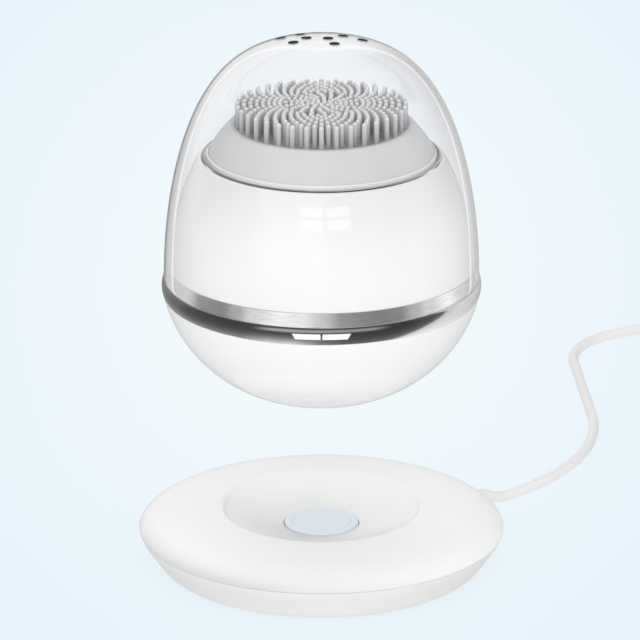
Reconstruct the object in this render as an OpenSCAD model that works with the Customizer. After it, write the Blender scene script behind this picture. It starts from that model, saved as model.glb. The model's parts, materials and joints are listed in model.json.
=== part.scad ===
// Facial cleansing brush with a clear dome cover, standing over its own charging base.
// Z is up, the front (the side with the two buttons) faces -Y.
// The origin is the centre of the base's underside, on the surface it stands on.
// Brush pieces are drawn from the plane of the brush's widest edge and lifted by brush_z.

/* [Brush body] */
// Radius of the polished ring around the brush's waist
ring_r = 37.3; // [36.9:0.1:37.5]
// Height of the polished ring
ring_h = 4.0; // [3.6:0.1:4.2]
// Radius the lower egg is drawn from, at its widest
egg_r = 37.4; // [37.2:0.1:37.6]
// Depth of the lower egg below the widest edge
egg_depth = 29.5; // [29.4:0.1:29.8]
// Wall thickness of the two egg shells
wall = 2.1; // [1.8:0.1:2.3]
// Height of the brushed collar
collar_h = 3.15; // [3:0.05:3.3]

/* [Head] */
// Number of bristles in each of the outer rings
bristle_n = 36; // [30:1:36]
// Radius of one bristle
bristle_r = 0.58; // [0.45:0.01:0.6]
// Length of one bristle
bristle_l = 5.3; // [4.5:0.1:6.5]
// Radius of the silicone pad at its foot
pad_foot_r = 26.4; // [26:0.1:26.5]
// Radius of the silicone pad's top edge
pad_top_r = 21.2; // [20.8:0.1:21.6]

/* [Dome cover] */
// Height of the dome cover
dome_h = 56.5; // [56:0.1:58]
// Wall thickness of the dome cover
dome_t = 0.9; // [0.7:0.05:0.92]
// Diameter of one vent hole
vent_d = 2.5; // [1.5:0.1:3]

/* [Buttons] */
// Width of one button
button_w = 6.5; // [6:0.1:6.6]
// Height of one button
button_h = 1.3; // [1.1:0.05:1.35]

/* [Drive] */
// Module of the gear teeth
gear_m = 0.5; // [0.5:0.1:0.5]
// Teeth on the motor pinion and on the idler's small gear
pinion_n = 12; // [12:1:12]
// Teeth on the idler's large gear and on the output gear
wheel_n = 36; // [36:1:36]
// Diameter of the head spindle
spindle_d = 4.0; // [4:0.1:4]

/* [Charging base] */
// Radius of the base at its widest
base_r = 43.1; // [43:0.1:43.6]
// Height of the base's rim seam above the desk
rim_z = 8.5; // [8.3:0.1:8.6]
// Height of the dish edge above the desk
dish_z = 13.85; // [13.8:0.05:14.1]
// Radius of the dish edge
dish_r = 24.2; // [24:0.1:24.6]
// Radius of the centre puck
puck_r = 8.8; // [8:0.1:9]
// Height of the puck's top, where the brush sits
puck_z = 9.9; // [9.9:0.1:10.2]

/* [Arrangement] */
// Height the brush is held above its seat on the puck
hover = 32.0; // [30:0.1:40]

/* [Cable] */
// Radius of the cable
cable_r = 1.25; // [1:0.05:1.3]
// Direction the cable leaves the base in, from +X towards +Y
cable_az = 41; // [38:1:44]

/* [Hidden] */
$fn = 96;
steel = "silver";
egg_flat = egg_depth - 0.25;             // depth of the flat the egg stands on
brush_z = puck_z + egg_flat + hover;
head_lift = 1.9;                         // extra lift of the head pieces

// ---- frames and common shapes ----
module brush() { translate([0, 0, brush_z]) children(); }
module head() { brush() translate([0, 0, head_lift]) children(); }
module at_each(points, z = 0) for (p = points) translate([p[0], p[1], z]) children();
module ring_of(profile) { rotate_extrude(angle = 360) polygon(profile); }
// Ring of rectangular section, standing on z = 0.
module flat_ring(inner, outer, height)
    ring_of([[inner, 0], [outer, 0], [outer, height], [inner, height]]);
// Upright cylinders with their foot at z.
module rod(z, diameter, height) translate([0, 0, z]) cylinder(d = diameter, h = height);
module disc(z, radius, height) translate([0, 0, z]) cylinder(r = radius, h = height);
// Blocks standing on z; each row is x, y, width, depth, height.
module blocks(rows, z) for (p = rows) translate([p[0], p[1], z]) cube([p[2], p[3], p[4]]);

function reversed(points) = [for (i = [len(points) - 1:-1:0]) points[i]];
// Fraction from 0 to 1 whose steps grow finer towards 1.
function eased(i, n) = 1 - pow(1 - i / n, 1.7);

// ---- charging base ----
pad_r = 36.2;
pad_t = 1.2;
base_floor = 2.6;                        // top of the bottom cover's floor
base_board_t = 1.4;
base_board_top = base_floor + base_board_t;
ferrite_t = 0.8;                         // both the transmit and the receive ferrite
base_screw_r = 31.5;
puck_foot = 6.4;
cable_z = 3.9;                           // cable axis where it leaves the base

// Quarter ellipse from the rim up to the dish edge; radius, z.
function base_arch(inner_r, width, height, n = 16) = [for (i = [0:n]) let (angle = 90 * i / n)
    [inner_r + width * cos(angle), rim_z + height * sin(angle)]];
// Upper face of the dish, inwards, then its underside, outwards; radius, z.
dish_pts = [[23.3, 13.55], [22.5, 12.85], [20.4, 12.1], [17.6, 11.15], [14.8, 10.4],
    [12.0, 9.85], [puck_r + 1, 9.5], [puck_r, 9.45]];
dish_under = [[puck_r, 7.6], [12.0, 7.95], [14.8, 8.5], [17.6, 9.25], [20.4, 10.2],
    [22.5, 10.95]];

module at_base_screws()
    for (angle = [0:90:270]) rotate(angle) translate([base_screw_r, 0, 0]) children();
// Frame on the cable's axis in the base, at distance x from the centre, with +X outwards.
module at_cable(x) rotate(cable_az) translate([x, 0, cable_z]) children();

module base_top_shell() color("whitesmoke") difference() {
    union() {
        ring_of(concat(base_arch(dish_r, base_r - dish_r, dish_z - rim_z), dish_pts, dish_under,
            reversed(base_arch(dish_r - 1, base_r - 1.1 - dish_r, dish_z - 2.0 - rim_z))));
        at_base_screws() rod(2.6, 4.8, 9.6);
    }
    at_base_screws() rod(2.5, 1.6, 6);
}
module dish_puck() color("white") {
    disc(puck_foot, puck_r, puck_z - puck_foot);
    disc(puck_foot, puck_r + 2, 1.2);
}
module base_bottom_cover() color("gainsboro") difference() {
    ring_of([[0, pad_t], [pad_r, pad_t], [pad_r, 0.5], [37.4, 0.5], [38.3, 1.3],
        [40.4, 4.1], [42.2, 6.7], [base_r, rim_z], [base_r - 2.1, rim_z], [40.1, 6.6],
        [38.4, 4.1], [37.3, base_floor], [0, base_floor]]);
    at_base_screws() {
        rod(0, 2.2, 4);
        rod(1.1, 4, 0.9);
    }
    at_cable(34.5) rotate([0, 90, 0]) cylinder(d = 4.4, h = 12);
}
module anti_slip_pad() color("dimgray") cylinder(r = pad_r, h = pad_t);
module transmit_coil() color("peru")
    translate([0, 0, base_board_top + ferrite_t]) flat_ring(5, 14, 1.2);
module transmit_ferrite() color("darkslategray") disc(base_board_top, 15.5, ferrite_t);
module base_board() color("seagreen") difference() {
    disc(base_floor, 27.5, base_board_t);
    rotate(cable_az) translate([25, -3, 2]) cube([10, 6, 4]);
}
module base_board_parts() color("dimgray") blocks([
    [-20, 6, 5, 5, 1.1], [-20, -4, 4, 3, 1.4], [-10, 18, 6, 4, 1.2], [2, 20, 3, 3, 2.2],
    [-14, -17, 4, 4, 1.8], [0, -21, 6, 3, 1], [12, -18, 3, 2, 1], [18, -11, 2.4, 4, 1]],
    base_board_top);
module base_screws() color(steel) at_base_screws() {
    rod(1.3, 3.6, 0.7);
    rod(2.0, 1.6, 6);
}
module cable_grommet() color("gainsboro") at_cable(36.5) rotate([0, 90, 0]) difference() {
    cylinder(d = 4.4, h = 9);
    rod(-1, 2 * cable_r, 13);
}

// ---- cable: straight runs and bends, each starting where the last one ends ----
left = 0;
up = 90;
right = 180;
down = -90;
plug_z = 4.2;                            // height of the plug's axis
dip_r = 12;                              // radius of the bends down to the desk and up again
drop_angle = acos(1 - (cable_z - cable_r) / (2 * dip_r));
rise_angle = acos(1 - (plug_z - cable_r) / (2 * dip_r));
// Straight run: length. Bend: radius, angle, side it bends to.
runs = [[20], [dip_r, drop_angle, down], [dip_r, drop_angle, up], [68, 16.5, left],
    [67, 37, left], [39], [23.6, 67, right], [8], [dip_r, rise_angle, up],
    [dip_r, rise_angle, down], [5]];

module cable_run(run) {
    if (len(run) == 1) rotate([0, 90, 0]) cylinder(r = cable_r, h = run[0]);
    else rotate([run[2], 0, 0]) translate([0, run[0], 0]) rotate([0, 0, -90])
        rotate_extrude(angle = run[1]) translate([run[0], 0]) circle(r = cable_r);
}
// Frame at the far end of a run.
module past(run) {
    if (len(run) == 1) translate([run[0], 0, 0]) children();
    else rotate([run[2], 0, 0])
        translate([run[0] * sin(run[1]), run[0] * (1 - cos(run[1])), 0])
        rotate([0, 0, run[1]]) rotate([-run[2], 0, 0]) children();
}
// Walks the runs from number i, drawing them if asked, and puts the children at the end.
module follow(i, draw) {
    if (i < len(runs)) {
        if (draw) {
            if (i > 0) sphere(r = cable_r * 1.03, $fn = 32);
            cable_run(runs[i]);
        }
        past(runs[i]) follow(i + 1, draw) children();
    } else children();
}
module power_cable() color("white") at_cable(28.5) follow(0, true);
module at_plug() at_cable(28.5) follow(0, false) children();

// USB plug, drawn along +X from the cable's end.
usb_x = 20;                              // start of the metal shell
usb_w = 12;
usb_h = 4.5;
usb_wall = 0.3;
tongue_h = 1.9;
// Bar along +X, width in Y and height in Z, with its long edges cut by edge.
module chamfered_bar(length, width, height, edge) rotate([90, 0, 90]) linear_extrude(length)
    polygon([[-width / 2 + edge, -height / 2], [width / 2 - edge, -height / 2],
        [width / 2, -height / 2 + edge], [width / 2, height / 2 - edge],
        [width / 2 - edge, height / 2], [-width / 2 + edge, height / 2],
        [-width / 2, height / 2 - edge], [-width / 2, -height / 2 + edge]]);
module usb_plug_body() color("white") at_plug() difference() {
    union() {
        translate([2, 0, 0]) chamfered_bar(length = 21, width = 15.6, height = 8.2, edge = 1.6);
        translate([-3, 0, 0]) rotate([0, 90, 0]) cylinder(d1 = 3.6, d2 = 6, h = 5);
    }
    translate([-4, 0, 0]) rotate([0, 90, 0]) cylinder(r = cable_r, h = 4);
    translate([usb_x, -usb_w / 2, -usb_h / 2]) cube([4, usb_w, usb_h]);
}
module usb_plug_shell() color(steel) at_plug() difference() {
    translate([usb_x, -usb_w / 2, -usb_h / 2]) cube([15, usb_w, usb_h]);
    translate([usb_x + 0.6, usb_wall - usb_w / 2, usb_wall - usb_h / 2])
        cube([15, usb_w - 2 * usb_wall, usb_h - 2 * usb_wall]);
    for (y = [-3.8, 1.4]) translate([28, y, -3]) cube([2.4, 2.4, 6]);
}
module usb_plug_tongue() color("ghostwhite") at_plug()
    translate([usb_x + 0.6, usb_wall - usb_w / 2, usb_h / 2 - usb_wall - tongue_h])
    cube([13, usb_w - 2 * usb_wall, tongue_h]);

// ---- brush shells ----
shell_r0 = 35.3;                         // upper shell's curve: radius at z = 0
shell_h0 = 47.03;                        // and height where it would close
shell_top = 29.6;
deck_top = 28.1;                         // flat deck under the head
deck_bot = 26.1;
collar_r = 35.85;
trim_r = 27.85;
trim_in = 27.0;
socket_r = 34.2;                         // lower shell's upright rim inside the ring
socket_in = 32.6;
neck_r = 32.5;                           // upper shell's neck inside that rim
neck_in = 31.2;
collar_in = 33.0;
groove_r = 31.75;                        // floor of the seal groove in the neck
dome_r = 36.8;                           // dome foot and the ring's top edge
boss_angles = [30, 150, 270];
boss_r = 26;

// Radius of the lower egg at a depth below the widest edge.
function egg_at(depth, radius, full_depth) =
    radius * pow(max(0, 1 - pow(depth / full_depth, 1.73)), 1 / 2.334);
// Radius of the upper shell at height z above the widest edge.
function shell_at(z) = shell_r0 * sqrt(max(0, 1 - pow(z / shell_h0, 2.284)));

// Egg curve from one depth to another; radius, z.
function egg_pts(radius, full_depth, from, to, n) = [for (i = [0:n])
    let (depth = from * (1 - eased(i, n)) + to * eased(i, n))
    [egg_at(depth, radius, full_depth), -depth]];
// Upper shell curve from one height to another, moved in by inset; radius, z.
function shell_pts(from, to, inset, n) = [for (i = [0:n]) let (z = from + (to - from) * i / n)
    [shell_at(z) - inset, z]];

module at_bosses()
    for (angle = boss_angles) rotate(angle) translate([boss_r, 0, 0]) children();

module lower_shell() color("whitesmoke") brush() difference() {
    ring_of(concat([[0, -egg_flat]],
        reversed(egg_pts(egg_r, egg_depth, ring_h, egg_flat, 26)),
        [[socket_r, -ring_h], [socket_r, 0], [socket_in, 0], [socket_in, -ring_h - 1.6]],
        egg_pts(egg_r - wall, egg_depth - wall, ring_h + 2.4, egg_depth - wall, 22)));
    button_slots(0.3);
}
// Outer curve of the polished ring, from its foot to its top edge; radius, z.
ring_curve = [[egg_at(ring_h, egg_r, egg_depth), -ring_h], [ring_r - 0.18, -3.2],
    [ring_r - 0.04, -2.4], [ring_r, -1.6], [ring_r - 0.08, -0.9], [ring_r - 0.25, -0.35],
    [dome_r, 0]];
module polished_ring() color("slategray") brush() difference() {
    ring_of(concat([[socket_r, -ring_h]], ring_curve, [[socket_r, 0]]));
    button_slots(0.08);
}
module brushed_collar() color(steel) brush()
    ring_of([[collar_in, 0], [collar_r, 0], [collar_r, 0.3], [shell_r0, collar_h],
        [collar_in, collar_h]]);
module upper_shell() color("whitesmoke") brush() difference() {
    union() {
        ring_of(concat(shell_pts(collar_h, shell_top - 0.7, 0, 22),
            [[28.75, 29.25], [28.4, 29.52], [28.0, shell_top], [trim_r, shell_top],
            [trim_r, deck_top], [5, deck_top], [5, deck_bot]],
            shell_pts(deck_bot, 5.2, wall, 16),
            [[neck_in, 3.0], [neck_in, -5], [neck_r, -5], [neck_r, -3.75], [groove_r, -3.75],
            [groove_r, -2.65], [neck_r, -2.65], [neck_r, 0], [collar_in, 0],
            [collar_in, collar_h]]));
        at_bosses() rod(plate_z + plate_t, 5, deck_bot - plate_z - plate_t + 0.5);
    }
    at_bosses() rod(plate_z, 1.6, 9);
    // Gap in the front of the neck for the buttons.
    translate([-9, -34, -6]) cube([18, 8, 6]);
}
module head_trim_ring() color(steel) head()
    ring_of([[trim_in, 26.2], [trim_r, 26.2], [trim_r, 27.75], [trim_r - 0.1, 27.95],
        [trim_r - 0.3, 28.05], [trim_in + 0.25, 28.05], [trim_in + 0.05, 27.9],
        [trim_in, 27.7]]);
module body_seal() color("dimgray") brush() translate([0, 0, -3.2])
    rotate_extrude() translate([32.175, 0]) circle(r = 0.42);

// ---- chassis and drive ----
plate_z = 12.2;
plate_t = 2.0;
cover_z = 21.5;
cover_t = 2.1;
gear_gap = gear_m * (wheel_n + pinion_n) / 2;   // distance between meshing axes
idler_xy = [0, gear_gap];
motor_xy = [gear_gap, gear_gap];
motor_screws_xy = [for (side = [-1, 1]) motor_xy + side * [5, -4]];
low_z = 15.0;                            // motor pinion and idler wheel
low_t = 2.6;
high_z = 18.0;                           // idler pinion and output gear
high_t = 3.0;
board_z = 4.0;
board_t = 1.2;
board_top = board_z + board_t;
board_posts = [[-18, 16], [-10, -19], [14, -17]];
cover_posts = [[-14, 4], [15, -5], [4, 24.4]];
guide_x = 9.6;                           // guides that hold the button board's ends

module chassis_plate() color("gray") brush() difference() {
    union() {
        disc(plate_z, 30.2, plate_t);
        at_each(board_posts) rod(board_top, 4, plate_z - board_top + 0.5);
        at_each(cover_posts) rod(plate_z + 1, 4.6, cover_z - plate_z - 1);
        for (side = [-1, 1]) translate([side * guide_x - 1.2, -28.2, -5.4])
            cube([2.4, 3.4, plate_z + 5.6]);
    }
    at_bosses() rod(plate_z - 1, 2.2, 4);
    at_each(cover_posts) rod(plate_z + 4, 1.4, 8);
    rod(plate_z - 1, 6, 4);
    at_each([idler_xy]) rod(plate_z + 0.4, 2, 4);
    at_each([motor_xy]) rod(plate_z - 1, 5, 4);
    at_each(motor_screws_xy, plate_z - 1) {
        rod(0, 1.7, 4);
        rod(2.2, 3.2, 2);
    }
    translate([-23, -3.2, plate_z - 1]) cube([6, 8, 4]);
    for (side = [-1, 1]) translate([side * guide_x - 2, -27.5, -5]) cube([4, 1.05, 5.1]);
}
module gearbox_cover() color("gray") brush() difference() {
    translate([0, 0, cover_z]) linear_extrude(cover_t) hull() {
        circle(r = 11.5);
        translate(idler_xy) circle(r = 11.5);
        translate(motor_xy) circle(r = 6);
        for (p = cover_posts) translate(p) circle(r = 3);
    }
    rod(cover_z - 1, 7, 5);
    at_each([idler_xy]) rod(cover_z - 1, 2, 2.4);
    at_each(cover_posts, cover_z - 1) {
        rod(0, 2, 5);
        rod(2.1, 3.4, 3);
    }
}
module cover_screws() color(steel) brush() at_each(cover_posts, cover_z - 5) {
    rod(0, 1.4, 6.1);
    rod(6.1, 3.2, 0.9);
}
module motor() color("silver") brush() difference() {
    at_each([motor_xy]) {
        rod(-9.8, 15.4, 22);
        rod(12.1, 4.8, 1.4);
        rod(-10.6, 6, 0.9);
    }
    at_each(motor_screws_xy) rod(9, 1.4, 4);
    at_each([motor_xy]) rod(5, 1.6, 10);
}
module motor_screws() color(steel) brush() at_each(motor_screws_xy) {
    rod(9.4, 1.4, 4.1);
    rod(13.4, 3, 0.75);
}
module upper_shaft_bush() color("goldenrod") brush() difference() {
    rod(21.3, 7, 2.5);
    rod(20, spindle_d + 0.06, 6);
}
module lower_shaft_bush() color("goldenrod") brush() difference() {
    rod(11.8, 6, 2.7);
    rod(11, spindle_d + 0.06, 6);
}
module shaft_seal() color("dimgray") brush() difference() {
    disc(deck_bot, 5, deck_top - deck_bot);
    rod(deck_bot - 1, spindle_d + 0.1, 5);
    translate([0, 0, deck_bot - 0.1]) flat_ring(3, 4.2, 1.1);
}
module idler_axle() color(steel) brush()
    at_each([idler_xy]) rod(plate_z + 0.4, 2, cover_z + 1.4 - plate_z - 0.4);
// The spindle's top is flattened on its +Y side.
spindle_flat_z = 28.1;
module head_spindle() color(steel) brush() {
    rod(10.2, spindle_d, 18);
    intersection() {
        rod(spindle_flat_z, spindle_d, 5.6);
        translate([-3, -3, spindle_flat_z]) cube([6, 4.5, 6]);
    }
}
module spindle_clip() color(steel) brush() translate([0, 0, 10.8]) difference() {
    cylinder(d = 6, h = 0.7);
    rod(-1, spindle_d, 3);
    translate([-1, 0, -1]) cube([2, 5, 3]);
}

// ---- gear teeth, drawn from the involute rule ----
pressure_angle = 25;
tooth_thinning = 0.075;                  // taken off each flank at the pitch circle
flank_steps = 5;
half_pitch = 180 / pinion_n;             // turn that lets the pinions mesh

// Angle between an involute's start on the base circle and its point at a radius.
function unwind(root_r, radius) = let (angle = acos(min(1, root_r / radius)))
    tan(angle) * 180 / PI - angle;
// One flank of the tooth on +X; side is -1 going outwards, 1 coming back in.
function tooth_side(teeth, side) = let (
    pitch_r = gear_m * teeth / 2,
    involute_r = pitch_r * cos(pressure_angle),
    low_r = max(involute_r, pitch_r - gear_m),
    tip_r = pitch_r + 0.8 * gear_m,
    half = 90 / teeth - tooth_thinning / pitch_r * 180 / PI + unwind(involute_r, pitch_r))
    [for (i = [0:flank_steps]) let (
        radius = low_r + (tip_r - low_r) * (side > 0 ? flank_steps - i : i) / flank_steps,
        angle = side * (half - unwind(involute_r, radius)))
        [radius * cos(angle), radius * sin(angle)]];
function turned(p, angle) =
    [p[0] * cos(angle) - p[1] * sin(angle), p[0] * sin(angle) + p[1] * cos(angle)];
function gear_pts(teeth) = let (
    root_r = gear_m * teeth / 2 - 1.2 * gear_m,
    root = turned([root_r, 0], 130 / teeth),
    tooth = concat([[root[0], -root[1]]], tooth_side(teeth, -1), tooth_side(teeth, 1), [root]))
    [for (i = [0:teeth - 1]) each [for (p = tooth) turned(p, i * 360 / teeth)]];
module gear(teeth, height, turn = 0) rotate(turn) linear_extrude(height)
    polygon(gear_pts(teeth));

module output_gear() color("ivory") brush() difference() {
    union() {
        translate([0, 0, high_z]) gear(wheel_n, high_t);
        rod(high_z - 1, 5, 1.2);
    }
    rod(high_z - 3, spindle_d, 10);
    for (angle = [30:60:330]) rotate(angle) translate([5.6, 0, 0]) rod(high_z - 2, 2.2, 8);
}
module idler_gear() color("ivory") brush() at_each([idler_xy]) difference() {
    union() {
        translate([0, 0, low_z]) gear(wheel_n, low_t);
        translate([0, 0, low_z + low_t - 0.1])
            gear(pinion_n, high_z + high_t + 0.2 - low_z - low_t, half_pitch);
    }
    rod(low_z - 1, 2.06, 9);
}
module motor_pinion() color("goldenrod") brush() at_each([motor_xy]) {
    translate([0, 0, low_z - 0.1]) gear(pinion_n, low_t + 0.3, half_pitch);
    rod(6, 1.5, low_z - 6);
}

// ---- battery, boards and coil ----
cell_y = -8;
cell_z = -10.5;
cell_d = 14;
cell_start = -21.5;                      // x of the cell's left end
tray_post_x = 22.85;                     // posts from the tray up to the chassis plate
receive_coil_z = -25.9;
receive_coil_t = 1;
receive_ferrite_z = receive_coil_z + receive_coil_t;
carrier_z = receive_ferrite_z + ferrite_t;

// Frame on the cell's axis, with its Z along +X.
module along_cell() translate([0, cell_y, cell_z]) rotate([0, 90, 0]) children();
module battery_cell() color("seagreen") brush() along_cell() {
    rod(cell_start, cell_d, 42.2);
    rod(20.6, 5, 0.9);
}
module battery_tray() color("gray") brush() {
    difference() {
        union() {
            translate([-19.5, cell_y - 4, cell_z - 8.5]) cube([39, 8, 7]);
            translate([-23.5, cell_y - 2, cell_z - 7.9]) cube([47, 4, 4]);
        }
        along_cell() rod(cell_start, cell_d, 43);
    }
    for (side = [-1, 1]) translate([side * tray_post_x - 1.35, cell_y - 4, cell_z - 5])
        cube([2.7, 8, plate_z - cell_z + 5]);
}
module main_board() color("seagreen") brush() difference() {
    intersection() {
        disc(board_z, 28.6, board_t);
        translate([-30, -21.5, 3]) cube([60, 46, 4]);
    }
    at_each([motor_xy]) rod(3, 16.6, 4);
    for (side = [-1, 1]) translate([side * tray_post_x - 1.6, cell_y - 4.3, 3])
        cube([3.2, 8.6, 4]);
}
module main_board_parts() color("dimgray") brush() {
    blocks([[-14, 0, 7, 7, 1.2], [-3, -14, 5, 5, 1.5], [6, -12, 4, 3, 1], [-20, 6, 3, 5, 1.6],
        [-6, 10, 3, 3, 1], [-2, 18, 4, 3, 1.2], [-14, 20, 5, 2.4, 1], [-2, -2, 4, 4, 2.4],
        [20, -2, 3, 2, 1]], board_top);
    // Two parts on the underside.
    blocks([[-14, -7, 5, 4, 0.6]], board_z - 0.6);
    blocks([[-14, 12, 6, 6, 1.4]], board_z - 1.4);
}
module receive_coil() color("peru") brush()
    translate([0, 0, receive_coil_z]) flat_ring(4.5, 11, receive_coil_t);
module receive_ferrite() color("darkslategray") brush()
    disc(receive_ferrite_z, 11.6, ferrite_t);
module coil_carrier() color("gray") brush() {
    disc(carrier_z, 13, 1.2);
    translate([-8, cell_y - 3.5, carrier_z + 1.1]) cube([16, 7, 4]);
}

// ---- buttons in the front of the polished ring ----
button_z = -1.95;                        // centre height
button_x = 0.24;                         // inner edge, from the brush's middle
module button_board() color("seagreen") brush() translate([-10.6, -27.5, -5])
    cube([21.2, 1, 5]);
module tact_switches() color("dimgray") brush() for (x = [-3.5, 3.5])
    translate([x, 0, button_z]) {
        translate([-1.6, -29.4, -1.5]) cube([3.2, 1.9, 3]);
        rotate([90, 0, 0]) rod(29.3, 1.6, 0.7);
    }
module button_seal() color("gainsboro") brush() translate([-8.2, -30.5, -4.4])
    cube([16.4, 0.5, 4.3]);
// Face of one button, grown by gap: straight on the inner side, leaning on the outer side,
// wider at the top.
function button_face(gap) = [
    [button_x - gap, -button_h / 2 - gap],
    [button_w - 0.75 + button_x + gap, -button_h / 2 - gap],
    [button_w + button_x + gap * 1.3, button_h / 2 + gap],
    [button_x - gap, button_h / 2 + gap]];
module button_bar(gap, front_y, back_y) translate([0, back_y, button_z]) rotate([90, 0, 0])
    linear_extrude(back_y - front_y) polygon(button_face(gap));
module button_slots(gap) for (k = [0, 1]) mirror([k, 0, 0]) button_bar(gap, -40, -31);
module one_button() {
    intersection() {
        button_bar(0, -38, -31.5);
        ring_of(concat([[30, -ring_h]], [for (p = ring_curve) [p[0] + 0.12, p[1]]], [[30, 0]]));
    }
    translate([button_x, -31.7, -2.7]) cube([button_w + 0.55, 0.6, 2.0]);
}
module power_button() color("white") brush() mirror([1, 0, 0]) one_button();
module mode_button() color("white") brush() one_button();

// ---- screws and leads ----
module chassis_screws() color(steel) brush() at_bosses() {
    rod(plate_z - 1, 3.6, 1);
    rod(plate_z - 0.5, 1.6, 8.5);
}
// Wire through a list of points, with a ball at each inner point.
module lead(points, radius = 0.45) for (i = [0:len(points) - 2])
    let (step = points[i + 1] - points[i], length = norm(step)) translate(points[i]) {
        rotate([0, acos(step[2] / length), atan2(step[1], step[0])])
            cylinder(r = radius, h = length, $fn = 24);
        if (i > 0) sphere(r = radius * 1.25, $fn = 24);
    }
module motor_leads() color("firebrick") brush() {
    lead([[7.5, 14.5, -9.8], [7.5, 14.5, -12], [-4, 17, -12], [-6.5, 16.5, 2],
        [-6.5, 16.5, board_z]]);
    lead([[16.5, 14.5, -9.8], [16.5, 14.5, -11.5], [16.5, 17, -13.4], [-5, 20, -13.4],
        [-10.5, 22.5, 2], [-10.5, 22.5, board_z]]);
}
// Rows: x at the cell, then x and y at the board.
module battery_leads() color("firebrick") brush()
    for (ends = [[-20, -17, 2], [19.5, 19.5, -1]])
        lead([[ends[0], cell_y + 4.5, -4.6], [ends[0], cell_y + 5.5, -0.5],
            [ends[1], ends[2], 2], [ends[1], ends[2], board_z]]);
// Rows: side of the coil, then x at the board.
module coil_leads() color("darkorange") brush() for (ends = [[1, 4], [-1, -6]])
    let (side = ends[0], board_x = ends[1])
        lead([[side * 6.95, 8.59, -25.45], [side * 7.67, 9.48, -25.45],
            [side * 8.49, 10.49, -24.2], [side * 8.6, 11.5, -21.5], [side * 3.4, 11.8, -17.1],
            [board_x, 2.5, 2], [board_x, 2.5, board_z]], 0.3);

// ---- head ----
pad_z = 27.5;
pad_top = 35.5;
core_top = 33.2;
// Flank and top of the carrier's core, which fills the pad; radius, z.
core_pts = [[24.0, pad_z], [23.2, 28.4], [18.6, core_top - 0.6], [17.6, core_top],
    [0, core_top]];
module head_carrier() color("white") head() difference() {
    ring_of(concat([[0, 26.5], [26.75, 26.5], [26.75, 27.35], [26.6, pad_z]], core_pts));
    // Socket for the spindle, with its flat.
    translate([0, 0, 20]) intersection() {
        cylinder(d = spindle_d + 0.08, h = 12.4);
        translate([-3, -3, 0]) cube([6, 4.54, 20]);
    }
    ring_of([[5.5, 26], [20.5, 26], [20.5, 28.3], [16.5, 31.2], [5.5, 31.2]]);
}
// Rings of bristles: the same count in each outer ring, every other ring turned half a pitch;
// the inner rings have fewer and are turned further, as a swirl. Radius, count, turn.
bristle_rings = [
    for (k = [0:7]) [19.4 - 1.56 * k + 0.024 * k * k, bristle_n, (k % 2) * 180 / bristle_n],
    for (k = [0:3]) [8.25 - 1.3 * k + 0.02 * k * k, floor(bristle_n / 2),
        k * 180 / (bristle_n / 2) + 5 + 6 * k],
    for (k = [0:1]) [3.3 - 1.15 * k, floor(bristle_n / 4),
        k * 180 / (bristle_n / 4) + 30 + 12 * k],
    [0.85, 3, 60]];
// Hollow-sided flank of the pad, from foot to top; radius, z.
flank_z = pad_z + 0.2;
function pad_flank(n = 9) = [for (i = [0:n]) let (t = i / n)
    [pad_top_r + (pad_foot_r - pad_top_r) * (1 - pow(t, 1.55)),
        flank_z + (pad_top + 0.1 - flank_z) * t]];
module bristle() rotate_extrude($fn = 24) polygon([[0, -0.3], [bristle_r, -0.3],
    [bristle_r, bristle_l - 0.4], [0.3, bristle_l], [0, bristle_l]]);
module silicone_brush_pad() color("lightgray") head() {
    difference() {
        ring_of(concat([[0, pad_z], [pad_foot_r, pad_z]], pad_flank(),
            [[pad_top_r - 0.5, pad_top + 0.05], [pad_top_r - 0.9, pad_top], [0, pad_top]]));
        ring_of(concat([[0, 26], [24.0, 26]], core_pts));
    }
    for (ring = bristle_rings) for (i = [0:ring[1] - 1])
        rotate(90 + ring[2] + i * 360 / ring[1]) translate([ring[0], 0, pad_top]) bristle();
}

// ---- dome cover ----
// Dome curve from foot to crown; radius, z.
function dome_pts(radius, height, n = 30) = [for (i = [0:n]) let (z = height * eased(i, n))
    [radius * pow(max(0, 1 - pow(z / height, 1.96)), 1 / 3.17), z]];
// Vent holes: a loose cluster on the back half of the dome's crown; x, y.
vents = [[-9.5, 8], [-5, 10], [-1.5, 13], [3, 13], [5, 8], [9.5, 5.5], [-3.5, 5.5],
    [-6.5, 2], [1.5, 5], [3, 0.5]];
module dome_cover() color("azure", 0.35) brush() difference() {
    ring_of(concat(dome_pts(dome_r, dome_h), reversed(dome_pts(dome_r - dome_t, dome_h - dome_t))));
    at_each(vents, dome_h - 12) cylinder(d = vent_d, h = 20);
}

base_top_shell();
dish_puck();
base_bottom_cover();
anti_slip_pad();
transmit_coil();
transmit_ferrite();
base_board();
base_board_parts();
base_screws();
cable_grommet();
power_cable();
usb_plug_body();
usb_plug_shell();
usb_plug_tongue();
lower_shell();
polished_ring();
brushed_collar();
upper_shell();
head_trim_ring();
body_seal();
chassis_plate();
gearbox_cover();
motor();
motor_screws();
upper_shaft_bush();
lower_shaft_bush();
shaft_seal();
idler_axle();
battery_cell();
battery_tray();
main_board();
main_board_parts();
receive_coil();
receive_ferrite();
coil_carrier();
button_board();
tact_switches();
button_seal();
chassis_screws();
cover_screws();
motor_leads();
battery_leads();
coil_leads();
head_spindle();
output_gear();
spindle_clip();
idler_gear();
motor_pinion();
silicone_brush_pad();
head_carrier();
dome_cover();
power_button();
mode_button();
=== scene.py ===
# An egg-shaped silicone brush standing upright on a round charging base, with a clear dome over
# its bristles and a cable that ends in a USB plug. Brush, dome and base share the Z axis. The
# base stands on z = 0, the buttons and the camera are at the front (-Y), and the cable leaves
# the base towards the back right (+X, +Y). Lengths are in mm unless a comment says otherwise.
import math
import random
from math import sin, cos, pi, radians, sqrt

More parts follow.
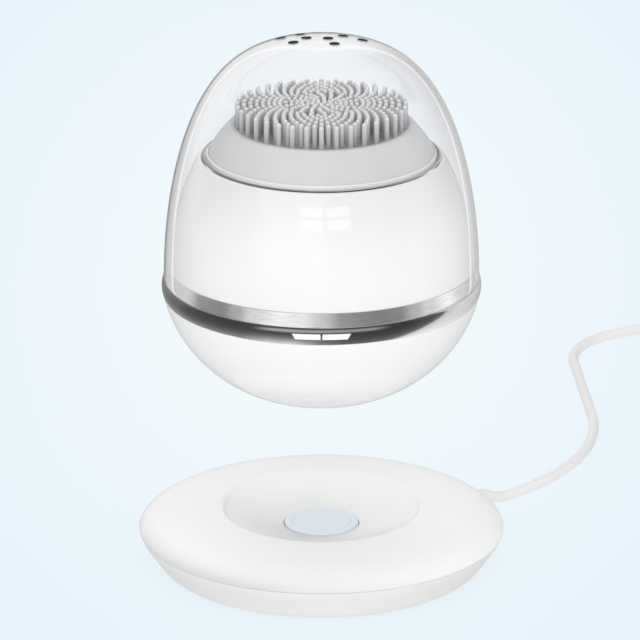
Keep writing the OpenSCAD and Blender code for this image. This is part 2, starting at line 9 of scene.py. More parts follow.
import bpy
import bmesh
from mathutils import Vector, Matrix
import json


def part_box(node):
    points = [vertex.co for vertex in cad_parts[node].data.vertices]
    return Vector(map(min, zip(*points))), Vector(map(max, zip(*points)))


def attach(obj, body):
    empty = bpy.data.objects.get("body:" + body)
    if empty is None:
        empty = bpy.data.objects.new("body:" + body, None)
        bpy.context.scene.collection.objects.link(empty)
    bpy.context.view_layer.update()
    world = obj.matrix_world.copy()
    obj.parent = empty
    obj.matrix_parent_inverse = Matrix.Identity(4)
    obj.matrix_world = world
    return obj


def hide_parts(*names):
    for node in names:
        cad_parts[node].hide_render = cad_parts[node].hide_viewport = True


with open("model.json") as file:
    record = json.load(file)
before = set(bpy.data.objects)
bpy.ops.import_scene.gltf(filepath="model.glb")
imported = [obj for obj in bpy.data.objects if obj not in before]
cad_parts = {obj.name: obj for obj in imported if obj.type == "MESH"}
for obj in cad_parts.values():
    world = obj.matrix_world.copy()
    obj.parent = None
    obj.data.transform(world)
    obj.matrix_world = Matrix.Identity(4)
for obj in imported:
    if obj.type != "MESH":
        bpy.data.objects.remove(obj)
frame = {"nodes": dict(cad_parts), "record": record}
scene = bpy.context.scene
random.seed(7)
MM = 0.001                                # metres in a millimetre


# ---------------------------------------------------------------- driving dimensions
def top_of(node):
    """Height of a CAD piece's top."""
    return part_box(node)[1][2] / MM


def radius_of(node):
    """Radius of a round CAD piece."""
    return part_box(node)[1][0] / MM


EDGE_Z = top_of("polished_ring")          # the plane most of the brush's heights start from
DOME_H = top_of("dome_cover") - EDGE_Z
TIP_H = top_of("silicone_brush_pad") - EDGE_Z
SHELL_H = top_of("upper_shell") - EDGE_Z
COLLAR_H = top_of("brushed_collar") - EDGE_Z
HEAD_LIFT = SHELL_H - 27.7
HEAD_Z = EDGE_Z + HEAD_LIFT               # the plane the head's heights start from
CORE_TOP = 33.2                           # the carrier's top, above HEAD_Z
PAD_TOP = 35.5                            # the pad's top, where bristles start, above HEAD_Z
EGG_H = EDGE_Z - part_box("lower_shell")[0][2] / MM + 0.25
EGG_R = 37.4
WALL = 2.1                                # thickness of the brush's shells
RING_R = radius_of("polished_ring")
RING_H = 4.0
DOME_R = 36.8
DOME_WALL = 0.9
BASE_R = radius_of("base_top_shell")
BASE_TOP = top_of("base_top_shell")
RIM_Z = top_of("base_bottom_cover")       # the base's two shells meet at this height
DISH_R = 24.2
PUCK_TOP = top_of("dish_puck")

# A button cap's face: flat at the inner end, slanted at the outer one.
CAP_W = 6.5
CAP_H = 1.3
CAP_GAP = 0.24                            # from the middle of the front to a cap's inner end
CAP_SLANT = 0.75
CAP_DROP = 1.95                           # from EDGE_Z down to the caps' middle

CABLE_R = 1.25
CABLE_Z = 3.9                             # height of the cable's axis where it leaves the base
CABLE_TURN = radians(41)                  # direction of the cable there, from +X towards +Y


# ---------------------------------------------------------------- mesh helpers
# An outline is a closed list of (r, z) or (r, z, fillet radius), turned about Z.
def add_object(name, mesh):
    obj = bpy.data.objects.new(name, mesh)
    scene.collection.objects.link(obj)
    return obj


def smooth_faces(mesh):
    for face in mesh.polygons:
        face.use_smooth = True


def add_mesh(name, verts, faces, smooth=True):
    """A clean object from points in metres."""
    mesh = bpy.data.meshes.new(name)
    mesh.from_pydata([tuple(vert) for vert in verts], [], faces)
    mesh.validate(verbose=False)
    obj = add_object(name, mesh)
    bm = bmesh.new()
    bm.from_mesh(mesh)
    bmesh.ops.remove_doubles(bm, verts=bm.verts, dist=1e-7)
    bmesh.ops.recalc_face_normals(bm, faces=bm.faces)
    bm.to_mesh(mesh)
    bm.free()
    if smooth:
        smooth_faces(mesh)
    return obj


def rounded(outline, steps):
    """An outline as (r, z) points, each fillet drawn as an arc."""
    corners = [(*point, 0.0)[:3] for point in outline]
    points = []
    for i, (x, y, fillet) in enumerate(corners):
        last_x, last_y, _ = corners[i - 1]
        next_x, next_y, _ = corners[(i + 1) % len(corners)]
        back = Vector((last_x - x, last_y - y))
        ahead = Vector((next_x - x, next_y - y))
        back_length, ahead_length = back.length, ahead.length
        if fillet <= 0 or min(back_length, ahead_length) < 1e-9:
            points.append((x, y))
            continue
        back /= back_length
        ahead /= ahead_length
        angle = math.acos(max(-1, min(1, back.dot(ahead))))
        if angle > radians(176):          # as good as straight
            points.append((x, y))
            continue
        cut = min(fillet / math.tan(angle / 2), 0.48 * back_length, 0.48 * ahead_length)
        radius = cut * math.tan(angle / 2)
        corner = Vector((x, y))
        centre = corner + (back + ahead).normalized() * (radius / sin(angle / 2))
        start = corner + back * cut - centre
        end = corner + ahead * cut - centre
        start_angle = math.atan2(start.y, start.x)
        sweep = (math.atan2(end.y, end.x) - start_angle + pi) % (2 * pi) - pi
        for k in range(steps + 1):
            turn = start_angle + sweep * k / steps
            points.append((centre.x + radius * cos(turn), centre.y + radius * sin(turn)))
    return points


def lathe(name, outline, z0=0.0, segments=224, fillet_steps=5):
    """Turns an outline about Z; z0 is added to every height."""
    verts, rows = [], []
    for r, z in rounded(outline, fillet_steps):
        count = 1 if r < 1e-6 else segments
        rows.append(range(len(verts), len(verts) + count))
        if count == 1:
            verts.append((0, 0, (z + z0) * MM))
            continue
        for k in range(segments):
            angle = 2 * pi * k / segments
            verts.append((r * MM * cos(angle), r * MM * sin(angle), (z + z0) * MM))
    faces = []
    for row, after in zip(rows, rows[1:] + rows[:1]):
        if len(row) == len(after) == 1:
            continue
        for k in range(segments):
            k2 = (k + 1) % segments
            if len(row) == 1:
                faces.append((row[0], after[k2], after[k]))
            elif len(after) == 1:
                faces.append((row[k], row[k2], after[0]))
            else:
                faces.append((row[k], row[k2], after[k2], after[k]))
    return add_mesh(name, verts, faces)


def spline(points, steps=6):
    """Catmull-Rom curve through (r, z) points."""
    curve = []
    for i in range(len(points) - 1):
        p0 = Vector(points[max(0, i - 1)])
        p1 = Vector(points[i])
        p2 = Vector(points[i + 1])
        p3 = Vector(points[min(len(points) - 1, i + 2)])
        for k in range(steps):
            t = k / steps
            linear = (p2 - p0) * t
            square = (2 * p0 - 5 * p1 + 4 * p2 - p3) * t * t
            cube = (3 * p1 - p0 - 3 * p2 + p3) * t ** 3
            curve.append(tuple(0.5 * ((2 * p1) + linear + square + cube)))
    curve.append(tuple(points[-1]))
    return curve


def spaced(start, end, steps):
    return [start + (end - start) * i / steps for i in range(steps + 1)]


def eased(i, steps, power):
    """Rises from 0 to 1 in ever smaller steps."""
    return 1 - (1 - i / steps) ** power


def ring_skin(name, rings):
    """A closed body through a row of rings with equally many points."""
    count = len(rings[0])
    verts = [point for ring in rings for point in ring]
    last = len(verts) - count
    faces = []
    for start in range(0, last, count):
        for k in range(count):
            k2 = (k + 1) % count
            faces.append((start + k, start + k2, start + count + k2, start + count + k))
    faces.append(tuple(range(count - 1, -1, -1)))
    faces.append(tuple(range(last, len(verts))))
    return add_mesh(name, verts, faces)


def tube(name, path, radius, segments):
    """A closed tube along a list of points."""
    points = [Vector(point) * MM for point in path]
    rings = []
    side = None
    for i, point in enumerate(points):
        ahead = (points[min(i + 1, len(points) - 1)] - points[max(i - 1, 0)]).normalized()
        if side is None:
            side = ahead.cross(Vector((0, 0, 1))).normalized()
        else:
            side = (side - ahead * side.dot(ahead)).normalized()
        across = side.cross(ahead).normalized()
        angles = [2 * pi * k / segments for k in range(segments)]
        rings.append([point + (side * cos(a) + across * sin(a)) * (radius * MM) for a in angles])
    return ring_skin(name, rings)


def loft(name, stations, segments=64):
    """A closed body along X: stations of (x, half width, half height, squareness)."""
    rings = []
    for x, half_width, half_height, squareness in stations:
        ring = []
        for k in range(segments):
            c, s = cos(2 * pi * k / segments), sin(2 * pi * k / segments)
            y = math.copysign(abs(c) ** (2 / squareness), c) * half_width
            z = math.copysign(abs(s) ** (2 / squareness), s) * half_height
            ring.append((x * MM, y * MM, z * MM))
        rings.append(ring)
    return ring_skin(name, rings)


def prism(name, points, y0, y1):
    """An (x, z) polygon drawn out along Y from y0 to y1."""
    n = len(points)
    verts = [(x * MM, y * MM, z * MM) for y in (y0, y1) for x, z in points]
    faces = [tuple(range(n)), tuple(range(2 * n - 1, n - 1, -1))]
    faces += [(i, (i + 1) % n, n + (i + 1) % n, n + i) for i in range(n)]
    return add_mesh(name, verts, faces, smooth=False)


def bake(obj):
    """Applies the object's modifiers."""
    depsgraph = bpy.context.evaluated_depsgraph_get()
    mesh = bpy.data.meshes.new_from_object(obj.evaluated_get(depsgraph), depsgraph=depsgraph)
    obj.modifiers.clear()
    obj.data = mesh
    smooth_faces(mesh)


def carve(obj, cutter):
    """Cuts the cutter's shape out of an object and removes the cutter."""
    modifier = obj.modifiers.new("cut", "BOOLEAN")
    modifier.operation = "DIFFERENCE"
    modifier.object = cutter
    modifier.solver = "EXACT"
    bake(obj)
    bpy.data.objects.remove(cutter, do_unlink=True)


def bevel(obj, width, segments, angle):
    modifier = obj.modifiers.new("edge", "BEVEL")
    modifier.width = width * MM
    modifier.segments = segments
    modifier.limit_method = "ANGLE"
    modifier.angle_limit = radians(angle)
    bake(obj)


def joined(name, parts):
    """Merges objects that have not been moved into one."""
    bm = bmesh.new()
    for part in parts:
        bm.from_mesh(part.data)
    mesh = bpy.data.meshes.new(name)
    bm.to_mesh(mesh)
    bm.free()
    for part in parts:
        bpy.data.objects.remove(part, do_unlink=True)
    obj = add_object(name, mesh)
    smooth_faces(mesh)
    return obj


def pillars(name, outline, places, z0, segments):
    """One turned shape repeated upright at each (x, y), as one object."""
    parts = []
    for x, y in places:
        part = lathe("part", outline, z0, segments)
        part.data.transform(Matrix.Translation((x * MM, y * MM, 0)))
        parts.append(part)
    return joined(name, parts)


def on_circle(radius, degrees):
    return [(radius * cos(radians(a)), radius * sin(radians(a))) for a in degrees]


# ---------------------------------------------------------------- node helpers
MATERIALS = {}
WHITE = (1, 1, 1, 1)


def from_srgb(*levels):
    """sRGB levels of 0 to 255 as a linear RGBA colour."""
    parts = [level / 255 for level in levels]
    return tuple(p / 12.92 if p <= 0.04045 else ((p + 0.055) / 1.055) ** 2.4
                 for p in parts) + (1.0,)


def srgb_stops(stops):
    """Ramp stops from (position, sRGB grey)."""
    return [(position, from_srgb(level, level, level)) for position, level in stops]


def by_angle(stops):
    """Stops placed by degrees from the front towards +X, as positions for Nodes.turn."""
    return [(degrees / 360 + 0.5, value) for degrees, value in stops]


def shade(colour, factor):
    return tuple(part * factor for part in colour) + (1,)


class Nodes:
    """Short calls that build the node tree of a material or a world."""

    def __init__(self, owner, output="OutputMaterial"):
        owner.use_nodes = True
        self.tree = owner.node_tree
        self.tree.nodes.clear()
        self.output = self.node(output)

    def node(self, kind, **settings):
        node = self.tree.nodes.new("ShaderNode" + kind)
        for key, value in settings.items():
            setattr(node, key, value)
        return node

    def feed(self, socket, value):
        """Links an output to a socket, or sets the socket to a plain value."""
        if isinstance(value, bpy.types.NodeSocket):
            self.tree.links.new(value, socket)
        else:
            socket.default_value = value

    def fill(self, node, **values):
        """Feeds inputs by name, with _ for a space."""
        for key, value in values.items():
            self.feed(node.inputs[key.replace("_", " ")], value)
        return node

    def result(self, shader):
        self.feed(self.output.inputs[0], shader)

    def math(self, operation, *values):
        node = self.node("Math", operation=operation)
        for socket, value in zip(node.inputs, values):
            self.feed(socket, value)
        return node.outputs[0]

    def scaled(self, vector, factor):
        node = self.node("VectorMath", operation="SCALE")
        self.feed(node.inputs[0], vector)
        return self.fill(node, Scale=factor).outputs[0]

    def separate(self, vector):
        return self.fill(self.node("SeparateXYZ"), Vector=vector).outputs

    def combine(self, x, y, z):
        return self.fill(self.node("CombineXYZ"), X=x, Y=y, Z=z).outputs[0]

    def turn(self, xyz):
        """Angle about Z: 0.5 is the front (-Y), 0.75 is +X."""
        angle = self.math("ARCTAN2", xyz[0], self.math("MULTIPLY", xyz[1], -1.0))
        return self.math("ADD", self.math("DIVIDE", angle, 2 * pi), 0.5)

    def radius(self, xyz):
        squares = [self.math("MULTIPLY", part, part) for part in (xyz[0], xyz[1])]
        return self.math("SQRT", self.math("ADD", *squares))

    def map_range(self, value, start=0.0, end=1.0, low=0.0, high=1.0, kind="LINEAR"):
        """Maps start..end to low..high."""
        node = self.node("MapRange", interpolation_type=kind)
        for key, number in zip(("From Min", "From Max", "To Min", "To Max"),
                               (start, end, low, high)):
            node.inputs[key].default_value = number
        return self.fill(node, Value=value).outputs[0]

    def ramp(self, factor, stops, interpolation="LINEAR"):
        """A colour ramp of (position, RGBA colour or grey)."""
        node = self.node("ValToRGB")
        node.color_ramp.interpolation = interpolation
        elements = node.color_ramp.elements
        while len(elements) > 1:
            elements.remove(elements[-1])
        elements[0].position = stops[0][0]
        for i, (position, colour) in enumerate(stops):
            element = elements.new(position) if i else elements[0]
            element.color = colour if isinstance(colour, tuple) else (colour,) * 3 + (1,)
        self.feed(node.inputs[0], factor)
        return node.outputs["Color"]

    def mix(self, factor, first, second, blend="MIX"):
        node = self.node("Mix", data_type="RGBA", blend_type=blend)
        return self.fill(node, Factor=factor, A=first, B=second).outputs["Result"]

    def mix_shader(self, factor, first, second):
        node = self.node("MixShader")
        for socket, value in zip(node.inputs, (factor, first, second)):
            self.feed(socket, value)
        return node.outputs[0]

    def emission(self, colour=WHITE, strength=1.0):
        return self.fill(self.node("Emission"), Color=colour, Strength=strength).outputs[0]

    def transparent(self, colour=WHITE):
        return self.fill(self.node("BsdfTransparent"), Color=colour).outputs[0]


class Shader(Nodes):
    """A material with a Principled surface."""

    def __init__(self, name):
        self.material = bpy.data.materials.new(name)
        MATERIALS[name] = self.material
        super().__init__(self.material)
        self.bsdf = self.node("BsdfPrincipled")
        self.result(self.bsdf.outputs[0])
        self.coords = self.node("TexCoord").outputs

    def surface(self, **values):
        self.fill(self.bsdf, **values)

    def noise(self, scale, detail=3.0, roughness=0.5, stretch=None, vector=None):
        source = vector or self.coords["Object"]
        if stretch:
            source = self.fill(self.node("Mapping"), Scale=stretch, Vector=source).outputs[0]
        node = self.node("TexNoise")
        self.fill(node, Scale=scale, Detail=detail, Roughness=roughness, Vector=source)
        return node.outputs["Fac"]

    def bump(self, height, strength, distance):
        node = self.node("Bump")
        return self.fill(node, Strength=strength, Distance=distance, Height=height).outputs[0]

    def polar(self):
        """Coordinates about the Z axis: (angle, radius, height)."""
        xyz = self.separate(self.coords["Object"])
        return self.combine(self.math("ARCTAN2", xyz[1], xyz[0]), self.radius(xyz), xyz[2])


# ---------------------------------------------------------------- plastics
def painted_height_shade(shader, colour, z0, stops):
    """Painted shade by height: scales a colour by stops of (height above z0, factor)."""
    largest = 1.1                         # keeps the ramp's own colours below 1
    first, last = stops[0][0], stops[-1][0]
    z = shader.separate(shader.node("TexCoord").outputs["Object"])[2]
    height = shader.map_range(z, start=(z0 + first) * MM, end=(z0 + last) * MM)
    factors = [((z - first) / (last - first), factor / largest) for z, factor in stops]
    product = shader.node("VectorMath", operation="MULTIPLY")
    shader.feed(product.inputs[0], colour)
    shader.feed(product.inputs[1], shader.scaled(shader.ramp(height, factors), largest))
    return product.outputs[0]


def plastic(name, colour, rough, coat=0.0, coat_rough=0.03, grain=9000, bump=0.03,
            mottle=0.02, subsurface=0.0, painted_shade=None):
    """Slightly mottled plastic; `bump` is the strength of a grain of scale `grain`."""
    shader = Shader(name)
    base = shader.ramp(shader.noise(scale=60, detail=4),
                       [(0.35, shade(colour, 1 - mottle)), (0.65, shade(colour, 1.0))])
    # Painted shade: the colour can be scaled by height to stand in for light and shade.
    if painted_shade:
        base = painted_height_shade(shader, base, EDGE_Z, painted_shade)
    patches = shader.noise(scale=140, detail=5, roughness=0.6)
    shader.surface(
        Base_Color=base, Coat_Weight=coat, Coat_Roughness=coat_rough,
        Roughness=shader.map_range(patches, low=rough * 0.86, high=rough * 1.14))
    if bump:
        height = shader.noise(scale=grain, detail=2)
        shader.surface(Normal=shader.bump(height, strength=bump, distance=0.00003))
    if subsurface:
        shader.surface(Subsurface_Weight=subsurface, Subsurface_Scale=0.002)


def base_top_white():
    """The base's top, with painted light and shade: a painted shade on its rolled rim, darkest at
    the front left, the sides painted lighter than the front, and a painted highlight on the dish's
    near edge."""
    shader = Shader("base_white_top")
    xyz = shader.separate(shader.coords["Object"])
    turn = shader.turn(xyz)
    # Painted light and shade by angle: the sides are painted lighter than the front.
    painted_side_light = shader.ramp(turn, [
        (0.0, 0.90), (0.20, 0.935), (0.33, 0.945), (0.42, 0.90), (0.50, 0.875),
        (0.60, 0.89), (0.70, 0.94), (0.82, 0.93), (1.0, 0.90)])
    # Painted shade on the rolled rim, strongest at the front left and fading with height.
    painted_rim_shade = shader.ramp(turn, [
        (0.14, 0.05), (0.24, 0.14), (0.31, 0.27), (0.44, 0.27), (0.54, 0.14),
        (0.62, 0.03), (0.80, 0.03)])
    low_down = shader.map_range(xyz[2], start=RIM_Z * MM, end=(RIM_Z + 3.8) * MM,
                                low=1.0, high=0.0, kind="SMOOTHSTEP")
    kept = shader.math("SUBTRACT", 1.0, shader.math("MULTIPLY", painted_rim_shade, low_down))
    # The painted highlight band starts at this radius and has this width.
    band_r, band_width = 22.7 * MM, 2.0 * MM
    across = shader.math("SUBTRACT", shader.radius(xyz), band_r)
    edge = shader.ramp(shader.math("DIVIDE", across, band_width),
                       [(0.0, 0), (0.30, 0), (0.45, 1), (0.62, 1), (0.85, 0)])
    near = shader.ramp(turn, [(0.20, 0), (0.32, 0.8), (0.5, 1), (0.66, 0.9), (0.76, 0)])
    # A painted highlight: white emission along the dish's near edge.
    glow = shader.math("MULTIPLY", shader.math("MULTIPLY", edge, near), 0.14)
    patches = shader.noise(scale=140, detail=5, roughness=0.6)
    grain = shader.noise(scale=2600, detail=2)
    shader.surface(
        Base_Color=shader.scaled(painted_side_light, kept),
        Emission_Color=WHITE, Emission_Strength=glow,
        Roughness=shader.map_range(patches, low=0.26, high=0.34),
        Normal=shader.bump(grain, strength=0.02, distance=0.00003),
        Coat_Weight=0.2, Coat_Roughness=0.12)


gloss = dict(rough=0.02, coat=0.3, coat_rough=0.0, bump=0, mottle=0.006)
plastic("shell_white", (0.875, 0.873, 0.868), **gloss)
# The upper shell has painted shade by height: lighter low down, darker towards the top.
plastic("shell_white_upper", (0.90, 0.893, 0.884), **gloss,
        painted_shade=[(8.0, 1.07), (11.0, 1.065), (16.0, 1.05), (20.0, 1.02), (24.5, 0.975), (29.0, 0.94)])
base_top_white()
plastic("base_white", (0.86, 0.865, 0.875), rough=0.30, coat=0.2, coat_rough=0.12, grain=2600,
        bump=0.02, mottle=0.012)
plastic("puck_white", (0.79, 0.855, 0.905), rough=0.22, coat=0.3, grain=2000, bump=0.01,
        mottle=0.01)
plastic("base_grey", (0.78, 0.775, 0.765), rough=0.38, coat=0.05, grain=5200, bump=0.06)
plastic("carrier_white", (0.86, 0.86, 0.86), rough=0.22, coat=0.3, grain=1800, bump=0.01)
plastic("button_white", (0.93, 0.93, 0.93), rough=0.18, coat=0.3, grain=2500, bump=0.01,
        mottle=0.0)
plastic("cable_white", (0.82, 0.815, 0.81), rough=0.42, grain=3800, bump=0.05)
plastic("inner_plastic", (0.50, 0.51, 0.53), rough=0.45, grain=3000, bump=0.1)
plastic("gear_plastic", (0.84, 0.81, 0.70), rough=0.4, grain=3500, bump=0.06, subsurface=0.1)
plastic("chip_black", (0.03, 0.03, 0.032), rough=0.5, grain=9000, bump=0.15)
plastic("lead_insulation", (0.55, 0.04, 0.03), rough=0.4, grain=5000, bump=0.05)
plastic("cell_wrap", (0.03, 0.16, 0.34), rough=0.3, coat=0.2, grain=900, bump=0.04)
plastic("pad_rubber", (0.10, 0.10, 0.105), rough=0.7, grain=3000, bump=0.3, mottle=0.12)
plastic("seal_rubber", (0.02, 0.02, 0.02), rough=0.6, grain=4000, bump=0.2)
plastic("silicone_white", (0.75, 0.75, 0.75), rough=0.5, grain=4000, bump=0.1, subsurface=0.2)
plastic("ferrite", (0.03, 0.03, 0.033), rough=0.75, grain=6000, bump=0.35, mottle=0.2)


def circuit_board():
    shader = Shader("circuit_board")
    brick = shader.node("TexBrick")
    shader.fill(brick, Scale=420, Color1=(0.015, 0.14, 0.07, 1), Color2=(0.02, 0.17, 0.09, 1),
                Mortar=(0.03, 0.25, 0.13, 1), Mortar_Size=0.03, Vector=shader.coords["Object"])
    shader.surface(
        Base_Color=brick.outputs[0],
        Roughness=shader.map_range(shader.noise(scale=500), low=0.3, high=0.42),
        Normal=shader.bump(brick.outputs["Fac"], strength=0.25, distance=0.00004))


circuit_board()


# ---------------------------------------------------------------- metals
def metal(name, colour, rough, streak, stretch, spread=0.15, polar=True, anisotropy=0.0,
          bump=0.0):
    """Metal with a stretched grain. `streak` darkens it, `spread` varies the roughness, and
    the stretch is along (angle, radius, height), or along X, Y, Z where polar is False."""
    shader = Shader(name)
    grain = shader.noise(scale=1.0, detail=5, roughness=0.65, stretch=stretch,
                         vector=shader.polar() if polar else None)
    shader.surface(
        Metallic=1.0, Anisotropic=anisotropy,
        Base_Color=shader.ramp(grain, [(0.3, shade(colour, 1 - streak)),
                                       (0.7, shade(colour, 1.0))]),
        Roughness=shader.map_range(grain, low=rough * (1 - spread), high=rough * (1 + spread)))
    if anisotropy:
        tangent = shader.node("Tangent", direction_type="RADIAL", axis="Z")
        shader.surface(Tangent=tangent.outputs[0])
    if bump:
        shader.surface(Normal=shader.bump(grain, strength=bump, distance=0.00002))
    return shader


def add_studio(shader, share, row, foot_row=None, line_row=None, streak=0.0, gain=1.0):
    """Mixes a share of painted studio reflections into a metal. A row holds (degrees from the
    front, sRGB grey), looked up by the mirrored direction. With a foot row the look changes
    down the polished ring, and line_row is the brightness of a thin line near its top."""
    coords = shader.node("TexCoord").outputs
    turn = shader.turn(shader.separate(coords["Reflection"]))
    if foot_row:
        down = shader.map_range(shader.separate(coords["Object"])[2],
                                start=EDGE_Z * MM, end=(EDGE_Z - RING_H) * MM)
        lean = 32 / 360                   # turn of the pattern from the ring's top to its foot
        turn = shader.math("ADD", turn, shader.math("MULTIPLY", down, lean))

    def reflected(stops):
        return shader.ramp(turn, srgb_stops(by_angle(stops)), "EASE")

    colour = reflected(row)
    if foot_row:
        colour = shader.mix(shader.math("POWER", down, 3.2), colour, reflected(foot_row))
        band = shader.ramp(down, srgb_stops([(0.05, 0), (0.15, 200), (0.30, 0)]))
        line = shader.mix(1.0, band, reflected(line_row), "MULTIPLY")
        colour = shader.mix(1.0, colour, line, "ADD")
    if streak:
        xyz = shader.separate(coords["Object"])
        angle = shader.math("ARCTAN2", xyz[1], xyz[0])
        brushing = shader.combine(shader.math("MULTIPLY", angle, 7.0), 0.0,
                                  shader.math("MULTIPLY", xyz[2], 3400.0))
        grain = shader.noise(scale=1.0, detail=4.0, roughness=0.7, vector=brushing)
        level = shader.map_range(grain, start=0.3, end=0.7, low=1 - streak, high=1 + streak)
        gain = shader.math("MULTIPLY", level, gain)
    shader.result(shader.mix_shader(share, shader.bsdf.outputs[0],
                                    shader.emission(colour, gain)))
    shader.material.cycles.emission_sampling = "NONE"


# Reflections: (degrees from the front towards +X, sRGB grey).
BRUSHED_ROW = [
    (-178, 190), (-150, 200), (-116, 212), (-98, 137), (-78, 128), (-64, 170), (-52, 218),
    (-30, 249), (-16, 241), (0, 203), (16, 142), (42, 121), (58, 124), (72, 176), (84, 212),
    (106, 250), (122, 218), (140, 190), (178, 190)]
RING_TOP_ROW = [
    (-178, 150), (-150, 120), (-116, 95), (-98, 68), (-78, 58), (-52, 54), (-30, 52), (0, 52),
    (42, 48), (70, 50), (88, 66), (98, 92), (107, 205), (122, 222), (140, 214), (165, 190),
    (179, 170)]
RING_FOOT_ROW = [
    (-178, 190), (-140, 170), (-84, 150), (-66, 146), (-46, 152), (-30, 205), (-20, 230),
    (2, 240), (16, 195), (30, 140), (50, 108), (74, 106), (90, 122), (99, 150), (107, 232),
    (126, 248), (150, 250), (179, 235)]
RING_LINE_ROW = [(-178, 0), (-46, 0), (-28, 225), (0, 215), (40, 200), (58, 0), (178, 0)]
TRIM_ROW = [
    (-178, 150), (-150, 90), (-132, 240), (-118, 100), (-96, 105), (-70, 95), (-40, 45),
    (-10, 30), (25, 30), (55, 45), (84, 110), (104, 110), (124, 245), (140, 80), (160, 200),
    (178, 150)]

add_studio(metal("brushed_metal", (0.80, 0.80, 0.81), rough=0.30, streak=0.16,
                 stretch=(9, 1, 9000), spread=0.3, anisotropy=0.75, bump=0.10),
           share=0.85, row=BRUSHED_ROW, streak=0.20, gain=1.04)
add_studio(metal("polished_metal", (0.34, 0.34, 0.345), rough=0.09, streak=0.03,
                 stretch=(3, 60, 60)),
           share=0.85, row=RING_TOP_ROW, foot_row=RING_FOOT_ROW, line_row=RING_LINE_ROW)
add_studio(metal("trim_metal", (0.86, 0.86, 0.87), rough=0.06, streak=0.02,
                 stretch=(3, 60, 60)),
           share=0.92, row=TRIM_ROW)
metal("screw_steel", (0.60, 0.60, 0.61), rough=0.28, streak=0.12, stretch=(3, 3000, 1500),
      anisotropy=0.4)
metal("motor_steel", (0.58, 0.58, 0.59), rough=0.30, streak=0.1, stretch=(200, 200, 2400),
      polar=False)
metal("bush_brass", (0.72, 0.52, 0.20), rough=0.35, streak=0.2, stretch=(900, 900, 900),
      polar=False)


def copper():
    """Copper wire in turns that follow one another along the radius."""
    pitch = 0.45 * MM
    shader = Shader("copper_wire")
    radius = shader.separate(shader.polar())[1]
    wave = shader.math("SINE", shader.math("MULTIPLY", radius, 2 * pi / pitch))
    level = shader.math("ADD", shader.math("MULTIPLY", wave, 0.5), 0.5)
    shader.surface(
        Metallic=1.0, Roughness=0.32,
        Base_Color=shader.ramp(level, [(0.0, (0.20, 0.07, 0.03, 1)),
                                       (0.6, (0.75, 0.33, 0.15, 1))]),
        Normal=shader.bump(wave, strength=0.6, distance=0.0001))


copper()


# ---------------------------------------------------------------- silicone and clear plastic
def bristle_shade(shader):
    """Painted shade: dark at a bristle's root and lighter towards its tip."""
    height = shader.map_range(shader.separate(shader.coords["Object"])[2],
                              start=(HEAD_Z + PAD_TOP - 0.2) * MM, end=(EDGE_Z + TIP_H) * MM)
    return shader.ramp(height, [(0.0, 0.42), (0.45, 0.66), (0.86, 0.80), (0.97, 1.0)])


def root_shade(shader):
    """Shade on the pad's top, among the bristles' roots."""
    polar = shader.separate(shader.polar())
    high_up = shader.map_range(polar[2], start=(HEAD_Z + PAD_TOP - 0.2) * MM,
                               end=(HEAD_Z + PAD_TOP - 0.02) * MM)
    inside = shader.map_range(polar[1], start=20.6 * MM, end=19.8 * MM)
    return shader.ramp(shader.math("MULTIPLY", high_up, inside), [(0.0, 1), (1.0, 0.45)])


def silicone(name, colour, rough, shading):
    shader = Shader(name)
    base = shader.ramp(shader.noise(scale=90, detail=4),
                       [(0.3, shade(colour, 0.97)), (0.7, shade(colour, 1.0))])
    patches = shader.noise(scale=260, detail=4)
    grain = shader.noise(scale=5200, detail=3)
    shader.surface(
        Base_Color=shader.mix(1.0, base, shading(shader), "MULTIPLY"),
        Roughness=shader.map_range(patches, low=rough * 0.9, high=rough * 1.12),
        Normal=shader.bump(grain, strength=0.05, distance=0.00003),
        Specular_IOR_Level=0.25)


silicone("silicone_grey", (0.66, 0.66, 0.66), rough=0.72, shading=root_shade)
silicone("silicone_bristle", (0.78, 0.78, 0.78), rough=0.60, shading=bristle_shade)


